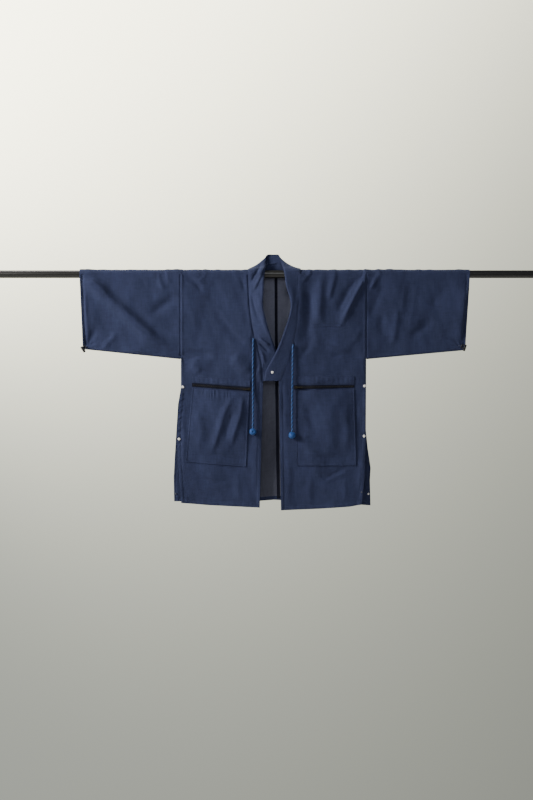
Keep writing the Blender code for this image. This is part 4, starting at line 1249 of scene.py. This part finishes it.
def snaps(paints):
    """Snap caps along the vents, and the one that holds the collar's ends together."""
    made = []
    for snap in SNAPS:
        side = SIDES[snap.side]
        reach = face_reach(side, snap.face, snap.x, snap.drop, SNAP_RADIUS)
        lift = CLOTH / 2 + LAY_GAP + SNAP_HEIGHT / 2
        y = -(reach + lift) if snap.face == "front" else reach - lift
        made.append(snap_cap(snap.name, Vector((snap.x, y, -snap.drop)), paints[snap.paint], snap.size))
    made.append(snap_cap("snap_collar", COLLAR_SNAP, paints["snap"]))
    return made


def rounded_block(shape, size, centre, bevel, segments=3):
    """Adds a box with rounded edges to a mesh being made."""
    corners = bmesh.ops.create_cube(shape, size=1.0)["verts"]
    bmesh.ops.scale(shape, verts=corners, vec=size)
    bmesh.ops.translate(shape, verts=corners, vec=centre)
    edges = list({edge for vert in corners for edge in vert.link_edges})
    bmesh.ops.bevel(shape, geom=edges, offset=bevel, segments=segments, profile=0.6, affect="EDGES")


def cylinder(shape, radius, length, centre, axis, segments=20):
    """Adds a round pin along X, Y or Z to a mesh being made."""
    made = bmesh.ops.create_cone(shape, cap_ends=True, segments=segments, radius1=radius, radius2=radius,
                                 depth=length)["verts"]
    turns = {"X": (0, 1, 0), "Y": (1, 0, 0), "Z": (0, 0, 1)}
    if axis != "Z":
        bmesh.ops.rotate(shape, verts=made, cent=(0, 0, 0), matrix=Matrix.Rotation(math.pi / 2, 3, turns[axis]))
    bmesh.ops.translate(shape, verts=made, vec=centre)


def zip_slider(side, paint):
    """The slider: two plates with rounded shoulders, and the loop that holds the tab."""
    pull = PULLS[side.name]
    centre = Vector((pull.pivot_x - pull.points_to * 0.001, -0.01855, -pull.pivot_drop))
    length, depth, height = SLIDER_SIZE
    shape = bmesh.new()
    rounded_block(shape, (length, 0.0011, height), centre - Vector((0, 0.0010, 0)), 0.0005)
    rounded_block(shape, (0.8 * length, 0.0011, 0.8 * height), centre + Vector((0, 0.0010, 0)), 0.0004)
    rounded_block(shape, (0.0030, 0.0020, 0.0030), centre, 0.0003)
    name = "zip_slider_" + side.name
    return stands_for(solid(name + "_metal", shape, paint, angle=45), name)


def pull_tab(side, paint):
    """The flat tab on the slider, with a slot near its end; it turns about an upright axis."""
    pull = PULLS[side.name]
    y = -0.02145
    start = pull.pivot_x - pull.points_to * TAB_HEEL
    outline = []
    half = TAB_HEIGHT / 2
    for share, width in ((0.0, 0.62), (0.05, 0.86), (0.12, 0.96), (0.30, 0.74), (0.55, 0.80), (0.75, 0.98),
                         (0.90, 1.0), (0.96, 0.86), (1.0, 0.55)):
        outline.append((start + pull.points_to * share * TAB_LENGTH, width * half))
    slot_ring = [(start + pull.points_to * (0.76 + 0.11 * math.cos(a)) * TAB_LENGTH, 0.42 * half * math.sin(a))
                 for a in np.linspace(0, 2 * math.pi, 16, endpoint=False)]
    shape = bmesh.new()
    ring = outline + [(x, -z) for x, z in outline[::-1]]
    faces = []
    for points in (ring, slot_ring):
        verts = [shape.verts.new((x, y - TAB_THICKNESS / 2, -pull.pivot_drop + z)) for x, z in points]
        faces.append([shape.edges.new((a, b)) for a, b in zip(verts, verts[1:] + verts[:1])])
    bmesh.ops.triangle_fill(shape, edges=faces[0] + faces[1], use_beauty=True)
    plate = list(shape.faces)
    grown = bmesh.ops.extrude_face_region(shape, geom=plate)
    moved = [item for item in grown["geom"] if isinstance(item, bmesh.types.BMVert)]
    bmesh.ops.translate(shape, verts=moved, vec=(0, TAB_THICKNESS, 0))
    bmesh.ops.recalc_face_normals(shape, faces=shape.faces)
    name = "pull_tab_" + side.name
    made = solid(name + "_metal", shape, paint, body=side.name + "_pull", angle=35)
    return stands_for(made, name)


TOGGLE_SIZE = (0.0085, 0.0060, 0.0210)
Toggle = namedtuple("Toggle", "x drop turn")
TOGGLES = {"left": Toggle(-0.6105, 0.2410, -34), "right": Toggle(0.6085, 0.2360, 18)}


LOOP_RADIUS = 0.0052
LOOP_CORD = 0.0019


def elastic_loop(shape, centre):
    """The short loop of elastic that the bar holds, added to a mesh being made."""
    rings = []
    for turn in np.linspace(0.0, 2 * math.pi, 28, endpoint=False):
        out = Vector((math.cos(turn), 0.0, math.sin(turn)))
        ring = []
        for around in np.linspace(0.0, 2 * math.pi, 8, endpoint=False):
            reach = LOOP_RADIUS + LOOP_CORD * math.cos(around)
            ring.append(shape.verts.new(centre + out * reach + Vector((0, LOOP_CORD * math.sin(around), 0))))
        rings.append(ring)
    for step in range(28):
        near, far = rings[step], rings[(step + 1) % 28]
        for side in range(8):
            shape.faces.new((near[side], near[side - 1], far[side - 1], far[side]))


def cuff_toggle(side, paint):
    """The small ribbed bar that draws a cuff's lower corner together."""
    place = TOGGLES[side.name]
    reach = face_reach(side, "front", np.array(place.x), np.array(place.drop - 0.006), 0.008)
    stand = reach + CAD_CLOTH / 2 + CAD_GAP + TOGGLE_SIZE[1] / 2
    width, depth, height = TOGGLE_SIZE
    shape = bmesh.new()
    rounded_block(shape, (0.86 * width, 0.9 * depth, height), (0, 0, 0), 0.0016)
    for step in range(-2, 3):
        rounded_block(shape, (width, depth, 0.0018), (0, 0, step * 0.0038), 0.0007)
    cylinder(shape, 0.0013, 1.1 * depth, (0, -0.0004, 0.0), "Y", 14)
    elastic_loop(shape, Vector((-side.sign * 0.0070, 0.0006, 0.0025)))
    bmesh.ops.rotate(shape, verts=shape.verts, cent=(0, 0, 0),
                     matrix=Matrix.Rotation(math.radians(place.turn), 3, "Y"))
    bmesh.ops.translate(shape, verts=shape.verts, vec=(place.x, -stand, -place.drop))
    name = "cuff_toggle_" + side.name
    return stands_for(solid(name + "_bar", shape, paint, angle=45), name)


ROD_LENGTH = 1.80
ROD_PROFILE = ((0.0, 0.0), (0.90, 0.0), (0.97, 0.0006), (1.0, 0.0016))


def rod(paint):
    """The tube the coat hangs on, with closed and slightly rounded ends."""
    sections = [(end * (ROD_LENGTH / 2 - inset), share * ROD_RADIUS)
                for end in (-1, 1) for share, inset in ROD_PROFILE[1:]]
    sections.sort()
    shape = bmesh.new()
    rings = []
    for x, radius in sections:
        ring = []
        for step in range(72):
            angle = 2 * math.pi * step / 72
            ring.append(shape.verts.new((x, radius * math.cos(angle), radius * math.sin(angle))))
        rings.append(ring)
    for near, far in zip(rings, rings[1:]):
        for step in range(72):
            shape.faces.new((near[step], near[step - 1], far[step - 1], far[step]))
    shape.faces.new(rings[0])
    shape.faces.new(rings[-1])
    bmesh.ops.recalc_face_normals(shape, faces=shape.faces)
    return stands_for(solid("hanging_rod", shape, paint, angle=30), "rod")


# Stitches and zip teeth, repeated along lines by Geometry Nodes


def line_mesh(name, lines):
    """Separate lines of points as edges of one mesh."""
    verts, edges = [], []
    for line in lines:
        first = len(verts)
        verts += [tuple(point) for point in line]
        edges += [(first + step, first + step + 1) for step in range(len(line) - 1)]
    data = bpy.data.meshes.new(name)
    data.from_pydata(verts, edges, [])
    made = bpy.data.objects.new(name, data)
    bpy.context.scene.collection.objects.link(made)
    return made


def repeat_along(name):
    """A tree that sets a rounded bar at even steps along lines, turned to follow them."""
    tree = bpy.data.node_groups.new(name, "GeometryNodeTree")
    tree.is_modifier = True
    for label, kind in (("Lines", "NodeSocketGeometry"), ("Step", "NodeSocketFloat"),
                        ("Bar Length", "NodeSocketFloat"), ("Bar Width", "NodeSocketFloat"),
                        ("Bar Height", "NodeSocketFloat"), ("Unevenness", "NodeSocketFloat"),
                        ("Rounded", "NodeSocketBool"), ("Paint", "NodeSocketMaterial")):
        tree.interface.new_socket(label, in_out="INPUT", socket_type=kind)
    tree.interface.new_socket("Bars", in_out="OUTPUT", socket_type="NodeSocketGeometry")

    def node(kind, **inputs):
        made = tree.nodes.new(kind)
        for label, value in inputs.items():
            socket = made.inputs[label.replace("_", " ").strip()]
            if isinstance(value, bpy.types.NodeSocket):
                tree.links.new(value, socket)
            else:
                socket.default_value = value
        return made

    given = tree.nodes.new("NodeGroupInput").outputs
    result = tree.nodes.new("NodeGroupOutput")
    curves = node("GeometryNodeMeshToCurve", Mesh=given["Lines"])
    places = node("GeometryNodeResampleCurve", Curve=curves.outputs[0])
    places.mode = "LENGTH"
    tree.links.new(given["Step"], places.inputs["Length"])
    tangent = tree.nodes.new("GeometryNodeInputTangent")
    turn = node("FunctionNodeAlignEulerToVector", Vector=tangent.outputs[0])
    turn.axis = "X"
    size = node("ShaderNodeCombineXYZ", X=given["Bar Length"], Y=given["Bar Height"], Z=given["Bar Width"])
    bead = node("GeometryNodeMeshUVSphere", Segments=6, Rings=4, Radius=0.5)
    shape = node("GeometryNodeSwitch", Switch=given["Rounded"], True_=bead.outputs[0])
    block = node("GeometryNodeMeshCube")
    tree.links.new(block.outputs[0], shape.inputs["False"])
    bar = node("GeometryNodeTransform", Geometry=shape.outputs[0], Scale=size.outputs[0])
    chance = node("FunctionNodeRandomValue", Seed=7)
    chance.data_type = "FLOAT"
    least = node("ShaderNodeMath")
    least.operation = "SUBTRACT"
    least.inputs[0].default_value = 1.0
    tree.links.new(given["Unevenness"], least.inputs[1])
    tree.links.new(least.outputs[0], chance.inputs[2])
    chance.inputs[3].default_value = 1.0
    bars = node("GeometryNodeInstanceOnPoints", Points=places.outputs[0], Instance=bar.outputs[0],
                Rotation=turn.outputs[0])
    tree.links.new(chance.outputs[1], bars.inputs["Scale"])
    whole = node("GeometryNodeRealizeInstances", Geometry=bars.outputs[0])
    painted = node("GeometryNodeSetMaterial", Geometry=whole.outputs[0], Material=given["Paint"])
    tree.links.new(painted.outputs[0], result.inputs[0])
    return tree


def repeated(name, lines, tree, **values):
    """Lines turned into rows of bars, as one mesh that rides on the coat."""
    made = line_mesh(name, lines)
    rows = made.modifiers.new("rows", "NODES")
    rows.node_group = tree
    for item in tree.interface.items_tree:
        if item.in_out == "INPUT" and item.name.replace(" ", "_") in values:
            rows[item.identifier] = values[item.name.replace(" ", "_")]
    return finished(made, angle=60)


STITCH_STEP = 0.0034
STITCH_LENGTH = 0.0025
STITCH_WIDTH = 0.00055
THREAD_LIFT = 0.0001


def on_panel(side, face, x, drop, out=0.0):
    """A line of points just proud of a panel's outer face."""
    points = panel_points(side, face, np.asarray(x, dtype=float), np.asarray(drop, dtype=float))
    sign = -1 if face == "front" else 1
    points[:, 1] += sign * (CLOTH / 2 + THREAD_LIFT + out)
    return points


def hem_lines(side):
    """Stitch lines of one body half: the hems, the vent's edges and the front edge."""
    lines = []
    for face in ("front", "back"):
        outer, inner = outer_edge(side, face, 0.73), inner_edge(side, face, 0.73)
        x = np.linspace(outer - side.sign * 0.003, inner + side.sign * 0.003, 90)
        lines.append(on_panel(side, face, x, hem_line(side, face, x) - HEM_DEPTH))
        drop = np.linspace(VENT_TOP + 0.012, 0.715, 110)
        lines.append(on_panel(side, face, outer_edge(side, face, drop) - side.sign * EDGE_TURN, drop))
    drop = np.linspace(0.352, 0.728, 110)
    lines.append(on_panel(side, "front", inner_edge(side, "front", drop) + side.sign * EDGE_TURN, drop))
    return lines


def sleeve_lines(side):
    """Stitch lines of one sleeve: the cuff's hem and the armhole's top stitching."""
    lines = []
    for face in ("front", "back"):
        drop = np.linspace(0.004, side.cuff_low - 0.012, 80)
        lines.append(on_panel(side, face, cuff_edge(side, drop) - side.sign * CUFF_STITCH, drop))
        drop = np.linspace(0.004, side.sleeve_low - 0.014, 84)
        lines.append(on_panel(side, face, np.full(84, side.armhole_x - side.sign * 0.0065), drop))
    return lines


def collar_lines():
    """Top stitching along the band's seam edge, on its outer face."""
    grid = collar_grid()
    along = np.gradient(grid[:, 0], axis=0)
    facing = unit(np.cross(unit(along), unit(grid[:, -1] - grid[:, 0])))
    outside = np.sign(np.sum(facing[:, 1] * np.where(grid[:, 0, 2] < 0, -1.0, 0.0)))
    out = outside * facing * (BAND_CLOTH / 2 + THREAD_LIFT)
    return [grid[4:-4, index] + out[4:-4] for index in (3, -3)]


def pocket_lines(side):
    """Stitch lines of one pocket and of the strip above it."""
    grid = pocket_grid(side) - np.array((0.0, CLOTH / 2 + THREAD_LIFT, 0.0))
    inset = 4
    lines = [grid[3:-inset, inset], grid[3:-inset, -1 - inset], grid[-1 - inset, inset:-inset]]
    for corners, share in ((STRIPS[side.name], 0.12), (STRIPS[side.name], 0.86)):
        top_left, top_right, low_right, low_left = corners
        across = np.linspace(0.01, 0.99, 70)
        x = top_left.x + across * (top_right.x - top_left.x)
        upper = top_left.drop + across * (top_right.drop - top_left.drop)
        lower = low_left.drop + across * (low_right.drop - low_left.drop)
        drop = upper + share * (lower - upper)
        lines.append(on_panel(side, "front", x, drop, CLOTH + LAY_GAP + 0.0006))
    return lines


def welt_lines():
    x = np.linspace(0.1195, 0.2125, 40)
    return [on_panel(SIDES["right"], "front", x, np.full(40, drop), LAY_GAP + TAPE_CLOTH) for drop in (0.1592,)]


def stitches(paint, tree):
    """All top stitching, as one mesh."""
    lines = collar_lines() + welt_lines()
    for side in SIDES.values():
        lines += hem_lines(side) + sleeve_lines(side) + pocket_lines(side)
    return repeated("stitches", lines, tree, Step=STITCH_STEP, Bar_Length=STITCH_LENGTH, Bar_Width=STITCH_WIDTH,
                    Bar_Height=STITCH_WIDTH, Unevenness=0.15, Rounded=True, Paint=paint)


TOOTH_STEP = 0.0023
TOOTH_WIDTH = 0.0034
TOOTH_DEPTH = 0.0012


def zip_teeth(paint, tree):
    """The closed rows of teeth of both zips, as one mesh."""
    lines = []
    for side in SIDES.values():
        top_left, top_right, low_right, low_left = ZIPS[side.name]
        share = np.linspace(0.02, 0.90, 80) if side.name == "left" else np.linspace(0.10, 0.98, 80)
        x = top_left.x + share * (top_right.x - top_left.x)
        upper = top_left.drop + share * (top_right.drop - top_left.drop)
        lower = low_left.drop + share * (low_right.drop - low_left.drop)
        lift = CLOTH / 2 + LAY_GAP + TAPE_CLOTH / 2
        lines.append(on_panel(side, "front", x, (upper + lower) / 2, lift))
    return repeated("zip_teeth", lines, tree, Step=TOOTH_STEP, Bar_Length=0.0014, Bar_Width=TOOTH_WIDTH,
                    Bar_Height=TOOTH_DEPTH, Unevenness=0.0, Rounded=False, Paint=paint)


# Camera, light and floor


def camera():
    """Looks straight at the coat from the front, as the photograph does."""
    lens = bpy.data.cameras.new("front view")
    lens.sensor_fit = "VERTICAL"
    lens.sensor_height = SENSOR
    lens.lens = SENSOR * VIEW_DISTANCE / (PHOTO_HEIGHT * PIXEL)
    lens.clip_end = 50.0
    view = bpy.data.objects.new("front view", lens)
    view.location = (VIEW_X, -VIEW_DISTANCE, -VIEW_DROP)
    view.rotation_euler = (math.radians(90), 0.0, 0.0)
    bpy.context.scene.collection.objects.link(view)
    bpy.context.scene.camera = view


# The lit backdrop behind the coat. Across the view (right, from its middle) and up it (up), both as
# slopes of the line of sight, the light's natural logarithm is a soft step less a fall to the right
BACKDROP_LOW = -0.908
BACKDROP_RISE = 2.847
STEP_MIDDLE = (0.0324, 0.457, 2.10)
STEP_WIDTH = (0.100, 0.269)
SIDE_FALL = (1.51, -0.63)
VIEW_EDGE = 0.14
ROOM_LIGHT = (0.16, 0.165, 0.18)


def studio():
    """The world: a backdrop brighter at its upper left, in a dim, even room."""
    world = bpy.data.worlds.new("studio")
    bpy.context.scene.world = world
    world.use_nodes = True
    tree = world.node_tree
    way = tree.nodes.new("ShaderNodeTexCoord")
    split = tree.nodes.new("ShaderNodeSeparateXYZ")
    tree.links.new(way.outputs["Generated"], split.inputs[0])
    ahead = maths(tree, "MAXIMUM", split.outputs[1], 0.05)
    right = maths(tree, "DIVIDE", split.outputs[0], ahead)
    up = maths(tree, "DIVIDE", split.outputs[2], ahead)
    lean = maths(tree, "MULTIPLY_ADD", right, STEP_MIDDLE[2], STEP_MIDDLE[1])
    middle = maths(tree, "MULTIPLY_ADD", right, lean, STEP_MIDDLE[0])
    width = maths(tree, "MAXIMUM", maths(tree, "MULTIPLY_ADD", right, STEP_WIDTH[1], STEP_WIDTH[0]), 0.05)
    place = maths(tree, "DIVIDE", maths(tree, "SUBTRACT", middle, up), width)
    step = maths(tree, "DIVIDE", 1.0, maths(tree, "ADD", maths(tree, "EXPONENT", place), 1.0))
    slope = maths(tree, "MULTIPLY_ADD", step, SIDE_FALL[1], SIDE_FALL[0])
    fall = maths(tree, "MULTIPLY", maths(tree, "ADD", right, VIEW_EDGE), slope)
    level = maths(tree, "SUBTRACT", maths(tree, "MULTIPLY_ADD", step, BACKDROP_RISE, BACKDROP_LOW), fall)
    strength = maths(tree, "EXPONENT", level)
    tint = tree.nodes.new("ShaderNodeMix")
    tint.data_type = "RGBA"
    tint.inputs["A"].default_value = (0.96, 1.0, 0.88, 1.0)
    tint.inputs["B"].default_value = (1.05, 1.0, 0.73, 1.0)
    tree.links.new(step, tint.inputs["Factor"])
    light = tree.nodes.new("ShaderNodeVectorMath")
    light.operation = "SCALE"
    tree.links.new(tint.outputs["Result"], light.inputs[0])
    tree.links.new(strength, light.inputs["Scale"])
    edge = tree.nodes.new("ShaderNodeMapRange")
    edge.interpolation_type = "SMOOTHSTEP"
    edge.inputs["From Min"].default_value = 0.86
    edge.inputs["From Max"].default_value = 0.95
    tree.links.new(split.outputs[1], edge.inputs["Value"])
    room = tree.nodes.new("ShaderNodeMix")
    room.data_type = "RGBA"
    room.inputs["A"].default_value = (*ROOM_LIGHT, 1.0)
    tree.links.new(edge.outputs["Result"], room.inputs["Factor"])
    tree.links.new(light.outputs[0], room.inputs["B"])
    tree.links.new(room.outputs["Result"], tree.nodes["Background"].inputs["Color"])


Lamp = namedtuple("Lamp", "name place aim size power colour")
LAMPS = (
    Lamp("window light", (-2.9, -1.20, 0.80), (0.0, 0.0, -0.22), 1.1, 158, (1.0, 0.985, 0.97)),
    Lamp("overhead light", (-1.5, 0.7, 2.1), (-0.1, 0.0, -0.2), 1.2, 28, (1.0, 0.98, 0.95)),
    Lamp("front light", (0.3, -4.2, 1.8), (0.0, 0.0, -0.20), 2.4, 32, (0.96, 0.98, 1.0)),
    Lamp("back light", (3.0, 1.9, 0.7), (0.0, 0.0, -0.3), 1.3, 105, (1.0, 0.99, 0.98)),
)


def lamps():
    for lamp in LAMPS:
        light = bpy.data.lights.new(lamp.name, "AREA")
        light.size = lamp.size
        light.energy = lamp.power
        light.color = lamp.colour
        made = bpy.data.objects.new(lamp.name, light)
        made.location = lamp.place
        made.rotation_euler = (Vector(lamp.aim) - Vector(lamp.place)).to_track_quat("-Z", "Y").to_euler()
        bpy.context.scene.collection.objects.link(made)


FLOOR_Z = -1.95
FLOOR_SIDES = (-3.0, 3.0, -3.0, 1.1)


def floor():
    """A plain pale floor, below the photograph's view."""
    left, right, near, far = FLOOR_SIDES
    data = bpy.data.meshes.new("floor")
    data.from_pydata([(x, y, FLOOR_Z) for x, y in ((left, near), (right, near), (right, far), (left, far))],
                     [], [(0, 1, 2, 3)])
    data.materials.append(finish("pale floor", (0.55, 0.54, 0.51), 0.8)[0])
    made = bpy.data.objects.new("floor", data)
    bpy.context.scene.collection.objects.link(made)


# Flat cuts: width and length before sewing, and the cut's area
Cut = namedtuple("Cut", "name width length area held rests_on")


def build():
    camera()
    studio()
    lamps()
    floor()
    paints = finishes()
    cloth, inside, tape = paints["cloth"], paints["inside"], paints["tape"]
    tree = repeat_along("rows along lines")
    for side in SIDES.values():
        hanging_cord(side, paints["cord"], paints["knot"])
    for side in SIDES.values():
        body_half(side, cloth, inside)
        sleeve(side, cloth, inside)
        pocket(side, cloth)
        pocket_strip(side, cloth)
        zip_tape(side, tape)
        zip_slider(side, paints["pull"])
        pull_tab(side, paints["pull"])
        cuff_toggle(side, paints["toggle"])
    collar(cloth)
    neck_facing(cloth)
    chest_welt(cloth)
    back_seam_tape(tape)
    snaps(paints)
    rod(paints["rod"])
    stitches(paints["thread"], tree)
    zip_teeth(paints["teeth"], tree)


build()
